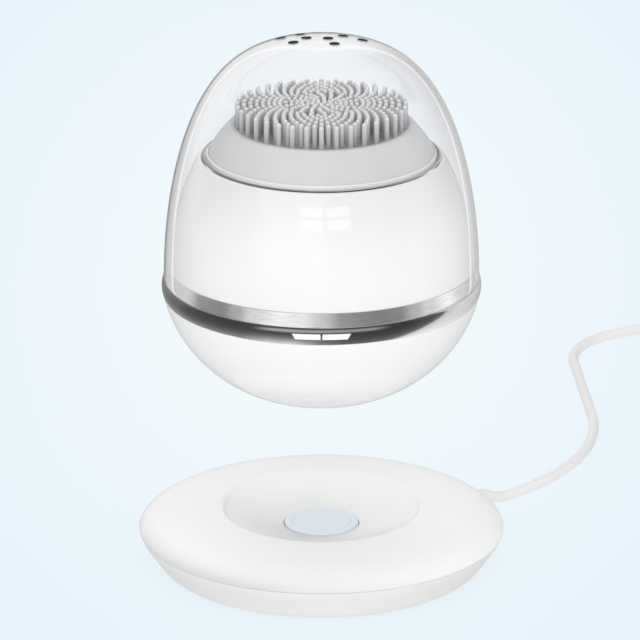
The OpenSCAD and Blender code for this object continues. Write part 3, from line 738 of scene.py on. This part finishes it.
def clear_plastic():
    shader = Shader("clear_plastic")
    patches = shader.noise(scale=50, detail=3)
    shader.surface(Transmission_Weight=1.0, IOR=1.45, Base_Color=(0.992, 0.992, 0.992, 1),
                   Roughness=shader.map_range(patches, low=0.0, high=0.012))

    # The walls of the vent holes bend light away and look dark; this shade is painted on them as a
    # dark surface.
    wall = shader.node("Attribute", attribute_name="hole_wall").outputs["Fac"]
    dark = shader.fill(shader.node("BsdfPrincipled"),
                       Base_Color=(0.035, 0.035, 0.04, 1), Roughness=0.35)
    body = shader.mix_shader(shader.math("MULTIPLY", wall, 0.9),
                             shader.bsdf.outputs[0], dark.outputs[0])

    # Seen edge-on, the wall gets a painted grey outline and a painted white highlight line
    #     where its inner face starts, painted darker on the left.
    facing = shader.fill(shader.node("LayerWeight"), Blend=0.5).outputs["Facing"]
    amount = shader.ramp(facing, [
        (0.62, 0), (0.665, 0.05), (0.678, 0.62), (0.693, 0.62), (0.71, 0.12), (0.81, 0.12),
        (0.87, 0.55), (1.0, 0.65)])

    def outline(edge, middle):
        return shader.ramp(facing, srgb_stops([
            (0.66, 255), (0.705, 255), (0.73, middle), (0.80, middle + 6), (0.86, edge),
            (1.0, edge)]))

    geometry = shader.node("NewGeometry").outputs
    rightness = shader.map_range(shader.separate(geometry["Normal"])[0], start=-0.8, end=0.8)
    painted_edge_lines = shader.emission(shader.mix(rightness, outline(edge=120, middle=212),
                                       outline(edge=196, middle=232)))
    path = shader.node("LightPath").outputs
    first_hit = shader.math("MULTIPLY", path["Is Camera Ray"],
                            shader.math("SUBTRACT", 1.0, geometry["Backfacing"]))
    seen = shader.mix_shader(shader.math("MULTIPLY", amount, first_hit), body, painted_edge_lines)

    # Shadows and scattered light pass straight through.
    passing = shader.math("MAXIMUM", path["Is Shadow Ray"], path["Is Diffuse Ray"])
    shader.result(shader.mix_shader(passing, seen, shader.transparent((0.97, 0.975, 0.98, 1))))
    shader.material.cycles.emission_sampling = "NONE"


clear_plastic()


# ---------------------------------------------------------------- CAD pieces that stay
def dress_cad_pieces():
    slots = {part["node"]: part["material_slot"] for part in frame["record"]["subparts"]}
    for name, obj in frame["nodes"].items():
        material = MATERIALS.get(slots.get(name), MATERIALS["inner_plastic"])
        if obj.data.materials:
            for i in range(len(obj.data.materials)):
                obj.data.materials[i] = material
        else:
            obj.data.materials.append(material)
        smooth_faces(obj.data)
        obj.data.set_sharp_from_angle(angle=radians(32))


dress_cad_pieces()


def fit(obj, material, body, slot, *nodes, crease=30):
    obj.data.set_sharp_from_angle(angle=radians(crease))
    obj.data.materials.clear()
    obj.data.materials.append(MATERIALS[material])
    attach(obj, body)
    if nodes:
        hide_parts(*nodes)


# ---------------------------------------------------------------- curves of the brush
def egg_wall(radius, height, top, bottom, steps):
    """(r, z) points down the egg, between two depths below the edge."""
    points = []
    for i in range(steps + 1):
        depth = top + (bottom - top) * eased(i, steps, power=2.1)
        points.append((egg_radius(depth, radius, height), -depth))
    return points


def egg_radius(depth, radius=EGG_R, height=EGG_H):
    return radius * max(0.0, 1 - (depth / height) ** 1.73) ** (1 / 2.334)


def upper_radius(z):
    return 35.3 * sqrt(max(0.0, 1 - (z / 47.03) ** 2.284))


def dome_wall(radius, height):
    """(r, z) points from just above the dome's foot up to its top."""
    points = []
    for i in range(1, 91):
        z = height * eased(i, 90, power=2.2)
        points.append((radius * max(0.0, 1 - (z / height) ** 1.96) ** (1 / 3.17), z))
    return points


# The outer face of the polished ring, from its foot up.
RING_FACE = spline([
    (egg_radius(RING_H), -RING_H), (RING_R - 0.18, -3.2), (RING_R - 0.04, -2.4),
    (RING_R, -1.6), (RING_R - 0.08, -0.9), (RING_R - 0.25, -0.35), (DOME_R, 0.0)])


def ring_radius(z):
    """Radius of the ring's face at a height between its foot and its top."""
    for (r0, z0), (r1, z1) in zip(RING_FACE, RING_FACE[1:]):
        if z0 <= z <= z1:
            return r0 + (r1 - r0) * (z - z0) / (z1 - z0)


# ---------------------------------------------------------------- lower shell and ring
def cap_outline(margin):
    """(x, z) corners of the right cap's face about its middle height, grown by a margin."""
    half = CAP_H / 2 + margin
    outer = CAP_W + CAP_GAP
    return [(CAP_GAP - margin, -half), (outer - CAP_SLANT + margin, -half),
            (outer + margin * 1.3, half), (CAP_GAP - margin, half)]


def slot_cutter(points):
    return prism("cut", [(x, z + EDGE_Z - CAP_DROP) for x, z in points], -40, -31)


def lower_shell():
    flat = EGG_H - 0.25                   # depth of the flat bottom
    inner_h = EGG_H - WALL
    outer = egg_wall(EGG_R, EGG_H, top=RING_H + 0.04, bottom=flat, steps=72)[::-1]
    inner = egg_wall(EGG_R - WALL, inner_h, top=6.4, bottom=inner_h, steps=40)[:-1]
    outline = [(0, -flat), (outer[0][0] - 0.5, -flat)] + outer[1:-1]
    outline += [(outer[-1][0], -RING_H, 0.22), (34.2, -RING_H), (34.2, 0), (32.6, 0),
                (32.6, -5.6)]
    outline += inner + [(0, -inner_h)]
    shell = lathe("lower_shell_skin", outline, EDGE_Z)
    # Behind the ring the two slots run together.
    _, (low_x, low_z), (high_x, high_z), _ = cap_outline(margin=0.3)
    carve(shell, slot_cutter([(-low_x, low_z), (low_x, low_z), (high_x, high_z),
                              (-high_x, high_z)]))
    fit(shell, "shell_white", "brush_body", "shell_white", "lower_shell", crease=35)


def polished_ring():
    inner_r = 34.2
    outline = [(inner_r, -RING_H), (RING_FACE[0][0], -RING_H, 0.10)] + RING_FACE[2:-1]
    outline += [(DOME_R, 0.0, 0.1), (inner_r, 0)]
    ring = lathe("polished_ring_skin", outline, EDGE_Z, segments=288)
    right = cap_outline(margin=0.09)
    left = [(-x, z) for x, z in reversed(right)]
    carve(ring, joined("cut", [slot_cutter(right), slot_cutter(left)]))
    fit(ring, "polished_metal", "brush_body", "polished_metal", "polished_ring")


def brushed_collar():
    outline = [(33.0, 0.0), (35.85, 0.0, 0.06), (35.85, 0.3, 0.15), (35.3, COLLAR_H, 0.14),
               (33.0, COLLAR_H)]
    collar = lathe("brushed_collar_skin", outline, EDGE_Z, segments=288)
    fit(collar, "brushed_metal", "brush_body", "brushed_metal", "brushed_collar")


lower_shell()
polished_ring()
brushed_collar()


# ---------------------------------------------------------------- upper shell
def upper_shell():
    foot = COLLAR_H + 0.02
    deck = SHELL_H - 3.5                  # underside of the flat top
    outline = [
        (31.2, -5), (32.5, -5), (32.5, -3.75), (31.75, -3.75), (31.75, -2.65), (32.5, -2.65),
        (32.5, 0), (33.0, 0), (33.0, foot), (upper_radius(foot), foot, 0.16)]
    outline += [(upper_radius(z), z) for z in spaced(COLLAR_H + 0.4, SHELL_H - 0.7, 60)[1:]]
    outline += [
        (28.72, SHELL_H - 0.37), (28.5, SHELL_H - 0.16), (28.22, SHELL_H - 0.03),
        (28.0, SHELL_H), (27.87, SHELL_H, 0.05), (27.87, SHELL_H - 1.5), (5, SHELL_H - 1.5),
        (5, deck)]
    outline += [(upper_radius(z) - WALL, z) for z in spaced(deck, 5.2, 30)]
    outline += [(31.2, 3.0)]
    shell = lathe("upper_shell_skin", outline, EDGE_Z, segments=256)
    fit(shell, "shell_white_upper", "brush_body", "shell_white", "upper_shell")


def screw_bosses():
    top = SHELL_H - 3.3
    bosses = pillars("screw_bosses", [(0, 14.2), (2.5, 14.2), (2.5, top), (0, top)],
                     on_circle(26, (30, 150, 270)), EDGE_Z, segments=32)
    fit(bosses, "shell_white", "brush_body", "shell_white")


upper_shell()
screw_bosses()


# ---------------------------------------------------------------- head: trim ring and carrier
def head_trim():
    outline = [
        (27.02, 26.22), (27.84, 26.22), (27.84, 27.72), (27.72, 27.95, 0.08),
        (27.5, 28.05, 0.1), (27.25, 28.05, 0.1), (27.06, 27.92, 0.08), (27.02, 27.7)]
    trim = lathe("head_trim_skin", outline, HEAD_Z, segments=256)
    fit(trim, "trim_metal", "brush_body", "trim_metal", "head_trim_ring", crease=45)


def head_carrier():
    outline = [
        (2.04, 32.4), (2.04, 26.5), (5.5, 26.5, 0.1), (5.5, 31.2), (16.5, 31.2), (20.5, 28.3),
        (20.5, 26.5, 0.1), (26.75, 26.5, 0.15), (26.75, 27.42, 0.1), (26.66, 27.6, 0.1),
        (26.62, 28.62, 0.14), (26.44, 28.84, 0.08), (26.26, 28.84), (26.42, 27.5), (24.0, 27.5),
        (23.2, 28.4), (18.6, CORE_TOP - 0.6), (17.6, CORE_TOP), (0, CORE_TOP), (0, 32.4)]
    carrier = lathe("head_carrier_skin", outline, HEAD_Z)
    fit(carrier, "carrier_white", "brush_head", "carrier_white", "head_carrier")


head_trim()
head_carrier()


# ---------------------------------------------------------------- silicone pad and bristles
def pad_body():
    foot_r, foot_z, top_r = 26.4, 27.7, 21.2
    outline = [(24.0, 27.52), (foot_r, 27.52, 0.12)]
    for i in range(1, 25):
        t = i / 26
        outline.append((top_r + (foot_r - top_r) * (1 - t ** 1.55),
                        foot_z + (PAD_TOP - foot_z) * t))
    outline += [
        (21.35, PAD_TOP + 0.02, 0.9), (20.3, PAD_TOP - 0.02, 0.3), (0, PAD_TOP),
        (0, CORE_TOP + 0.02), (17.6, CORE_TOP + 0.02), (18.65, CORE_TOP - 0.57), (23.22, 28.42)]
    return lathe("pad_body", outline, HEAD_Z, fillet_steps=7)


# Rings of bristles, from the outside in: (radius, count, first one's degrees past +Y).
BRISTLE_RINGS = [(19.4 - 1.56 * k + 0.024 * k * k, 36, (k % 2) * 5.0) for k in range(8)]
BRISTLE_RINGS += [(8.25 - 1.3 * k + 0.02 * k * k, 18, 5 + 16.0 * k) for k in range(4)]
BRISTLE_RINGS += [(3.3 - 1.15 * k, 9, 30 + 32.0 * k) for k in range(2)]
BRISTLE_RINGS += [(0.85, 3, 60.0)]


def bristles():
    """All bristles as one mesh, each with a slight random lean and height."""
    segments = 14
    radius = 0.58
    tip_r = radius * 0.97
    length = TIP_H - HEAD_LIFT - PAD_TOP
    # (r, z) from the flared root to the round tip
    rows = [(radius + 0.24, -0.05), (radius + 0.13, 0.06), (radius + 0.05, 0.2),
            (radius, 0.42), (radius * 0.985, length * 0.5), (tip_r, length - radius)]
    for degrees in (22, 42, 60, 76):
        a = radians(degrees)
        rows.append((tip_r * cos(a), length - radius + radius * sin(a)))
    verts, faces = [], []
    rng = random.Random(11)
    for ring_r, count, offset in BRISTLE_RINGS:
        for i in range(count):
            place = radians(90 + offset + i * 360.0 / count)
            x, y = ring_r * cos(place), ring_r * sin(place)
            lean = rng.uniform(0, 0.010)
            lean_angle = rng.uniform(0, 2 * pi)
            sink = rng.uniform(-0.04, 0.0)
            lean_x, lean_y = lean * cos(lean_angle), lean * sin(lean_angle)
            base = len(verts)
            for r, z in rows:
                row_x, row_y = x + lean_x * max(z, 0), y + lean_y * max(z, 0)
                row_z = PAD_TOP + z + (sink if z > 1 else 0) + HEAD_Z
                for k in range(segments):
                    a = 2 * pi * k / segments
                    verts.append(((row_x + r * cos(a)) * MM, (row_y + r * sin(a)) * MM,
                                  row_z * MM))
            top = len(verts)
            verts.append(((x + lean_x * length) * MM, (y + lean_y * length) * MM,
                          (PAD_TOP + length + sink + HEAD_Z) * MM))
            for start in range(base, top, segments):
                after = start + segments
                for k in range(segments):
                    k2 = (k + 1) % segments
                    if after < top:
                        faces.append((start + k, start + k2, after + k2, after + k))
                    else:
                        faces.append((start + k, start + k2, top))
            faces.append(tuple(base + k for k in range(segments - 1, -1, -1)))
    mesh = bpy.data.meshes.new("bristles")
    mesh.from_pydata(verts, [], faces)
    mesh.update()
    smooth_faces(mesh)
    return add_object("bristles", mesh)


fit(pad_body(), "silicone_grey", "brush_head", "silicone_grey", "silicone_brush_pad", crease=40)
fit(bristles(), "silicone_bristle", "brush_head", "silicone_grey", "silicone_brush_pad",
    crease=60)


# ---------------------------------------------------------------- dome cover
VENT_R = 1.25
VENTS = [(-9.5, 8), (-5, 10), (-1.5, 13), (3, 13), (5, 8), (9.5, 5.5), (-3.5, 5.5), (-6.5, 2),
         (1.5, 5), (3, 0.5)]              # (x, y) of each hole's axis


def dome_cover():
    foot_z = 40                           # the vent cutters start here, above EDGE_Z
    outline = [(DOME_R - DOME_WALL, 0.0, 0.25), (DOME_R, 0.0, 0.3)]
    outline += dome_wall(DOME_R, DOME_H)
    outline += dome_wall(DOME_R - DOME_WALL, DOME_H - DOME_WALL)[::-1]
    dome = lathe("dome_cover_skin", outline, EDGE_Z, segments=256)
    cutter = [(0, foot_z), (VENT_R, foot_z), (VENT_R, 60), (0, 60)]
    carve(dome, pillars("vents", cutter, VENTS, EDGE_Z, segments=40))
    # Marks the faces of the vents' walls, where the clear plastic paints its dark shade.
    walls = dome.data.attributes.new("hole_wall", "FLOAT", "FACE")
    for face in dome.data.polygons:
        centre = face.center / MM
        nearest = min((centre.x - x) ** 2 + (centre.y - y) ** 2 for x, y in VENTS)
        is_wall = (nearest < (VENT_R + 0.05) ** 2 and abs(face.normal.z) < 0.4
                   and centre.z > EDGE_Z + foot_z)
        walls.data[face.index].value = 1.0 if is_wall else 0.0
    fit(dome, "clear_plastic", "dome", "clear_plastic", "dome_cover", crease=40)


dome_cover()


# ---------------------------------------------------------------- buttons
def button(node, side):
    """A cap that follows the ring's face, with a flange behind it; side is 1 for +X."""
    name = node + "_cap"
    columns, rows = 26, 8
    proud = 0.12                          # how far the cap stands out of the ring
    back_y = -31.5
    _, (low_x, _), (high_x, _), _ = cap_outline(margin=0.0)
    verts, faces = [], []
    for layer in (0, 1):                  # the front face, then the back one
        for j in range(rows + 1):
            up = j / rows
            end_x = low_x + (high_x - low_x) * up
            z = CAP_H * (up - 0.5)
            for i in range(columns + 1):
                x = CAP_GAP + (end_x - CAP_GAP) * i / columns
                y = back_y
                if layer == 0:
                    y = -sqrt((ring_radius(z - CAP_DROP) + proud) ** 2 - x * x)
                verts.append((side * x * MM, y * MM, (z + EDGE_Z - CAP_DROP) * MM))

    def vert(layer, i, j):
        return (layer * (rows + 1) + j) * (columns + 1) + i

    for layer in (0, 1):
        for j in range(rows):
            for i in range(columns):
                faces.append((vert(layer, i, j), vert(layer, i + 1, j),
                              vert(layer, i + 1, j + 1), vert(layer, i, j + 1)))
    for i in range(columns):
        for j in (0, rows):
            faces.append((vert(0, i, j), vert(0, i + 1, j), vert(1, i + 1, j), vert(1, i, j)))
    for j in range(rows):
        for i in (0, columns):
            faces.append((vert(0, i, j), vert(0, i, j + 1), vert(1, i, j + 1), vert(1, i, j)))
    cap = add_mesh(name, verts, faces)
    bevel(cap, width=0.14, segments=3, angle=40)

    inner_x, outer_x = CAP_GAP * side, (CAP_GAP + 7.05) * side
    low_z, high_z = EDGE_Z - 2.7, EDGE_Z - 0.7
    flange = prism("flange", [(inner_x, low_z), (outer_x, low_z), (outer_x, high_z),
                              (inner_x, high_z)], -31.7, -31.1)
    bevel(flange, width=0.1, segments=2, angle=35)
    fit(joined(name, [cap, flange]), "button_white", node, "button_white", node, crease=50)


button("power_button", side=-1)
button("mode_button", side=1)


# ---------------------------------------------------------------- charging base
def base_top():
    steps = 44
    quarter = [(pi / 2) * i / steps for i in range(steps + 1)]
    outline = [(BASE_R - 0.02, RIM_Z + 0.03, 0.12)]
    outline += [(DISH_R + (BASE_R - DISH_R) * cos(t), RIM_Z + (BASE_TOP - RIM_Z) * sin(t))
                for t in quarter[1:-1]]
    # the dish, from its edge in to the puck's hole
    outline += [(DISH_R - 0.1, BASE_TOP, 0.35), (23.35, 13.55, 0.2), (22.5, 12.85, 0.5)]
    outline += spline([(20.4, 12.1), (17.6, 11.15), (14.8, 10.4), (12.0, 9.85), (9.8, 9.5)], 5)
    outline += [(8.92, 9.46, 0.12), (8.92, 7.6)]
    # the underside, back out to the rim
    outline += [(12.0, 7.95), (14.8, 8.5), (17.6, 9.25), (20.4, 10.2), (22.5, 10.95)]
    outline += [(DISH_R - 1 + (BASE_R - 1.1 - DISH_R) * cos(t),
                 RIM_Z + (BASE_TOP - 2 - RIM_Z) * sin(t)) for t in quarter[:0:-1]]
    outline += [(BASE_R - 2.1, RIM_Z + 0.03)]
    top = lathe("base_top_skin", outline, segments=288, fillet_steps=6)
    fit(top, "base_white_top", "charging_base", "base_white", "base_top_shell")


def screw_posts():
    posts = pillars("base_screw_posts", [(0.8, 2.62), (2.4, 2.62), (2.4, 12.0), (0.8, 12.0)],
                    on_circle(31.5, (0, 90, 180, 270)), 0.0, segments=36)
    fit(posts, "base_white", "charging_base", "base_white")


def dish_puck():
    groove = PUCK_TOP - 0.16
    outline = [
        (0, 6.4), (10.8, 6.4, 0.1), (10.8, 7.58, 0.1), (8.78, 7.6), (8.78, PUCK_TOP, 0.45),
        (7.25, PUCK_TOP, 0.1), (7.05, groove, 0.1), (6.75, groove, 0.1),
        (6.5, PUCK_TOP - 0.02, 0.1), (0, PUCK_TOP - 0.02)]
    puck = lathe("dish_puck_skin", outline, segments=160, fillet_steps=6)
    fit(puck, "puck_white", "charging_base", "puck_white", "dish_puck")


# Turns a shape made about Z onto the cable's axis where it leaves the base.
ONTO_CABLE = (Matrix.Translation((0, 0, CABLE_Z * MM)) @ Matrix.Rotation(CABLE_TURN, 4, "Z")
              @ Matrix.Rotation(pi / 2, 4, "Y"))


def bottom_cover():
    top = RIM_Z - 0.03
    wall = spline([(37.4, 0.5), (38.3, 1.3), (40.4, 4.1), (42.2, 6.7),
                   (BASE_R - 0.04, RIM_Z - 0.05)], 7)
    outline = [(0, 1.2), (36.2, 1.2), (36.2, 0.5, 0.15)] + wall[:-1]
    outline += [(BASE_R - 0.03, top, 0.16), (BASE_R - 2.1, top), (40.1, 6.6), (38.4, 4.1),
                (37.3, 2.6), (0, 2.6)]
    cover = lathe("base_cover_skin", outline, segments=288, fillet_steps=6)
    hole = lathe("hole", [(0, 34.5), (2.22, 34.5), (2.22, 50), (0, 50)], segments=48)
    hole.data.transform(ONTO_CABLE)
    carve(cover, hole)
    fit(cover, "base_grey", "charging_base", "base_grey", "base_bottom_cover")


def foot_pad():
    pad = lathe("foot_pad_skin", [(0, 0), (36.15, 0, 0.3), (36.15, 1.18), (0, 1.18)],
                segments=192)
    fit(pad, "pad_rubber", "charging_base", "pad_rubber", "anti_slip_pad")


base_top()
screw_posts()
dish_puck()
bottom_cover()
foot_pad()


# ---------------------------------------------------------------- cable and plug
def grommet():
    """A short ribbed sleeve round the cable."""
    outline = [
        (2.18, 36.5), (2.18, 42.0, 0.1), (2.0, 42.2, 0.1), (2.15, 42.7, 0.15),
        (2.15, 43.3, 0.15), (1.9, 43.6, 0.1), (2.05, 44.0, 0.15), (2.0, 44.6, 0.2),
        (1.7, 45.1, 0.2), (1.3, 45.5, 0.1), (1.27, 36.5)]
    sleeve = lathe("grommet_skin", outline, segments=48, fillet_steps=4)
    sleeve.data.transform(ONTO_CABLE)
    fit(sleeve, "cable_white", "charging_base", "cable_white", "cable_grommet", crease=40)


PLUG_Z = 4.2
BEND_R = 12                               # radius of the bends down to the table and up again
DROP = math.acos(1 - (CABLE_Z - CABLE_R) / (2 * BEND_R))
RISE = math.acos(1 - (PLUG_Z - CABLE_R) / (2 * BEND_R))

# The cable's runs: ("straight", length), or (bend, radius, angle).
RUNS = [("straight", 20), ("down", BEND_R, DROP), ("up", BEND_R, DROP),
        ("left", 68, radians(16.5)), ("left", 67, radians(37)), ("straight", 39),
        ("right", 23.6, radians(67)), ("straight", 8), ("up", BEND_R, RISE),
        ("down", BEND_R, RISE), ("straight", 5)]


def along(part, kind, size, angle=0.0):
    """The step from a run's start to a part (0 to 1) of the way along it; X points ahead."""
    if kind == "straight":
        return Matrix.Translation((size * part, 0, 0))
    sign = 1 if kind in ("left", "up") else -1
    turn = angle * part
    ahead, aside = size * sin(turn), sign * size * (1 - cos(turn))
    if kind in ("left", "right"):
        return Matrix.Translation((ahead, aside, 0)) @ Matrix.Rotation(sign * turn, 4, "Z")
    return Matrix.Translation((ahead, 0, aside)) @ Matrix.Rotation(-sign * turn, 4, "Y")


def power_cable():
    """Lays the cable and returns the place and direction of its far end."""
    here = (Matrix.Translation((0, 0, CABLE_Z)) @ Matrix.Rotation(CABLE_TURN, 4, "Z")
            @ Matrix.Translation((28.5, 0, 0)))
    path = []
    for run in RUNS:
        length = run[1] if run[0] == "straight" else run[1] * run[2]
        steps = int(length / 0.9)
        path += [(here @ along(i / steps, *run)).translation for i in range(steps)]
        here = here @ along(1, *run)
    path.append(here.translation)
    cable = tube("power_cable_skin", path, CABLE_R, segments=24)
    fit(cable, "cable_white", "charging_base", "cable_white", "power_cable", crease=50)
    return here


def plug_grip(end):
    # (x, half width, half height, squareness)
    stations = [(-4.6, 1.45, 1.45, 2)]
    for i in range(5):                    # strain relief with rings
        x = -4.4 + i * 1.3
        r = 1.75 + 0.28 * i
        stations += [(x, r, r, 2), (x + 0.75, r + 0.12, r + 0.1, 2),
                     (x + 0.8, r - 0.25, r - 0.25, 2), (x + 1.25, r - 0.15, r - 0.15, 2)]
    stations += [(2.0, 3.0, 2.9, 2.2), (2.15, 6.4, 3.3, 4), (2.5, 7.2, 3.75, 5),
                 (3.2, 7.65, 4.0, 6), (5, 7.8, 4.1, 7)]
    for i in range(4):                    # grooves round the grip
        x = 8 + i * 2.2
        stations += [(x, 7.8, 4.1, 7), (x + 0.3, 7.62, 3.92, 7), (x + 0.9, 7.62, 3.92, 7),
                     (x + 1.2, 7.8, 4.1, 7)]
    stations += [(19, 7.8, 4.1, 7), (22.3, 7.7, 4.05, 7), (22.8, 7.4, 3.8, 6),
                 (23, 6.9, 3.4, 6)]
    grip = loft("usb_plug_grip", stations)
    grip.data.transform(Matrix.Translation(end.translation * MM) @ end.to_3x3().to_4x4())
    fit(grip, "cable_white", "charging_base", "cable_white", "usb_plug_body", crease=45)


grommet()
plug_grip(power_cable())


# ---------------------------------------------------------------- floor (metres from here on)
def backdrop_glow(graph, window):
    """A soft glow over the view, shared by floor and world so that no horizon shows."""
    distance = graph.node("VectorMath", operation="DISTANCE")
    graph.feed(distance.inputs[0], window)
    distance.inputs[1].default_value = (0.5, 0.56, 0.0)
    return graph.ramp(distance.outputs["Value"], [
        (0.18, from_srgb(245, 253, 255)), (0.42, from_srgb(238, 249, 255)),
        (0.68, from_srgb(231, 245, 254))])


def floor_material():
    shader = Shader("floor")
    path = shader.node("LightPath").outputs
    shader.surface(Base_Color=(0.80, 0.82, 0.84, 1), Roughness=0.95, Specular_IOR_Level=0.0)
    glow = shader.emission(backdrop_glow(shader, shader.coords["Window"]), strength=1.0)
    # Near the product a share of the floor takes shadows.
    distance = shader.node("VectorMath", operation="LENGTH")
    shader.feed(distance.inputs[0], shader.coords["Object"])
    share = shader.map_range(distance.outputs["Value"], start=0.45, end=1.3, low=0.16, high=0.0)
    seen = shader.mix_shader(share, glow, shader.bsdf.outputs[0])
    # What scattered light meets, and so what lights the undersides.
    seen = shader.mix_shader(path["Is Diffuse Ray"], seen, shader.emission(strength=1.02))
    # What is seen through the clear dome.
    through = shader.emission(from_srgb(246, 249, 253))
    seen = shader.mix_shader(shader.math("GREATER_THAN", path["Transmission Depth"], 0.5),
                             seen, through)
    # Reflections look past the floor.
    shader.result(shader.mix_shader(shader.math("GREATER_THAN", path["Glossy Depth"], 0.5),
                                    seen, shader.transparent()))
    return shader.material


def sheet(name, half_x, half_y, z, material):
    mesh = bpy.data.meshes.new(name)
    mesh.from_pydata([(-half_x, -half_y, z), (half_x, -half_y, z), (half_x, half_y, z),
                      (-half_x, half_y, z)], [], [(0, 1, 2, 3)])
    obj = add_object(name, mesh)
    mesh.materials.append(material)
    return obj


sheet("floor", 30.0, 30.0, -0.0002, floor_material())


# ---------------------------------------------------------------- lights
def aim_at(obj, place, target):
    """Puts an object at a place with its -Z towards a target."""
    obj.location = place
    obj.rotation_mode = "QUATERNION"
    obj.rotation_quaternion = (Vector(target) - obj.location).to_track_quat("-Z", "Y")


def pane_material(strength):
    """A light that shows only after more than two passes through the dome's faces."""
    material = bpy.data.materials.new("pane")
    graph = Nodes(material)
    depth = graph.node("LightPath").outputs["Transmission Depth"]
    graph.result(graph.mix_shader(graph.math("GREATER_THAN", depth, 2.5),
                                  graph.transparent(), graph.emission(strength=strength)))
    return material


def softbox():
    """Four panes in front, two by two, that only show in reflections."""
    target = Vector((0, -0.0307, (EDGE_Z + 25.3) * MM))
    elevation, pan, distance = radians(27.4), radians(3.2), 1.25
    width, height = 0.41, 0.13
    half_gap_x, half_gap_y = 0.028, 0.020
    outward = Vector((sin(pan) * cos(elevation), -cos(pan) * cos(elevation), sin(elevation)))
    side = Vector((cos(pan), sin(pan), 0))
    rise = outward.cross(side)
    for i in (-1, 1):
        for j in (-1, 1):
            place = (target + outward * distance + side * (i * (width / 2 + half_gap_x))
                     + rise * (j * (height / 2 + half_gap_y)))
            pane = sheet("pane", width / 2, height / 2, 0, pane_material(strength=2.1))
            aim_at(pane, place, target)
            pane.visible_camera = pane.visible_diffuse = pane.visible_shadow = False


def area_light(name, place, size, power):
    light = bpy.data.lights.new(name, "AREA")
    light.energy = power
    light.size = size
    obj = add_object(name, light)
    aim_at(obj, place, target=(0, 0, 0.06))
    obj.visible_glossy = obj.visible_transmission = False


softbox()
area_light("key", (-0.05, -1.15, 0.50), size=0.9, power=5.0)
area_light("fill_top", (0.1, 0.1, 1.3), size=1.2, power=2.2)

# ---------------------------------------------------------------- world
# What reflections see above and below the horizon: (degrees from the front, grey).
HIGH_ROW = [
    (-180, 0.95), (-128, 0.95), (-100, 0.30), (-62, 0.34), (-40, 0.75), (-6, 0.70), (12, 0.36),
    (62, 0.30), (76, 0.55), (112, 0.50), (126, 0.35), (160, 0.5), (180, 0.95)]
LOW_ROW = [
    (-180, 0.60), (-150, 0.60), (-110, 0.45), (-40, 0.35), (40, 0.35), (58, 0.40), (78, 0.55),
    (118, 0.60), (150, 0.60), (180, 0.60)]
SKY = 0.80                                # level of the sky that lights the scene


def build_world():
    world = bpy.data.worlds.new("studio")
    scene.world = world
    graph = Nodes(world, "OutputWorld")
    world.cycles.sampling_method = "NONE"
    coords = graph.node("TexCoord").outputs
    path = graph.node("LightPath").outputs
    xyz = graph.separate(coords["Generated"])
    turn = graph.turn(xyz)
    high = graph.ramp(turn, by_angle(HIGH_ROW), "EASE")
    low = graph.ramp(turn, by_angle(LOW_ROW), "EASE")
    above = graph.map_range(xyz[2], start=-0.22, end=0.10, kind="SMOOTHSTEP")
    overhead = graph.map_range(xyz[2], start=0.45, end=0.9, kind="SMOOTHSTEP")
    mirrored = graph.mix(overhead, graph.mix(above, low, high), (0.9, 0.9, 0.9, 1))
    seen = graph.mix(path["Is Diffuse Ray"], backdrop_glow(graph, coords["Window"]),
                     (SKY, SKY, SKY * 1.01, 1))
    colour = graph.mix(graph.math("GREATER_THAN", path["Glossy Depth"], 0.5), seen, mirrored)
    background = graph.fill(graph.node("Background"), Color=colour, Strength=1.0)
    graph.result(background.outputs[0])


build_world()


# ---------------------------------------------------------------- camera and render
def add_camera():
    camera = bpy.data.cameras.new("camera")
    camera.lens = 360.7
    camera.sensor_width = 36.0
    camera.clip_start = 0.01
    camera.clip_end = 100
    obj = add_object("camera", camera)
    scene.camera = obj
    elevation, distance = radians(19.5), 1.5
    target = Vector((-0.00035, 0, (EDGE_Z - 10.95) * MM))
    aim_at(obj, target + Vector((0, -cos(elevation), sin(elevation))) * distance, target)


add_camera()
scene.view_settings.view_transform = "Standard"
scene.view_settings.look = "None"
scene.cycles.use_denoising = True

bpy.context.view_layer.update()
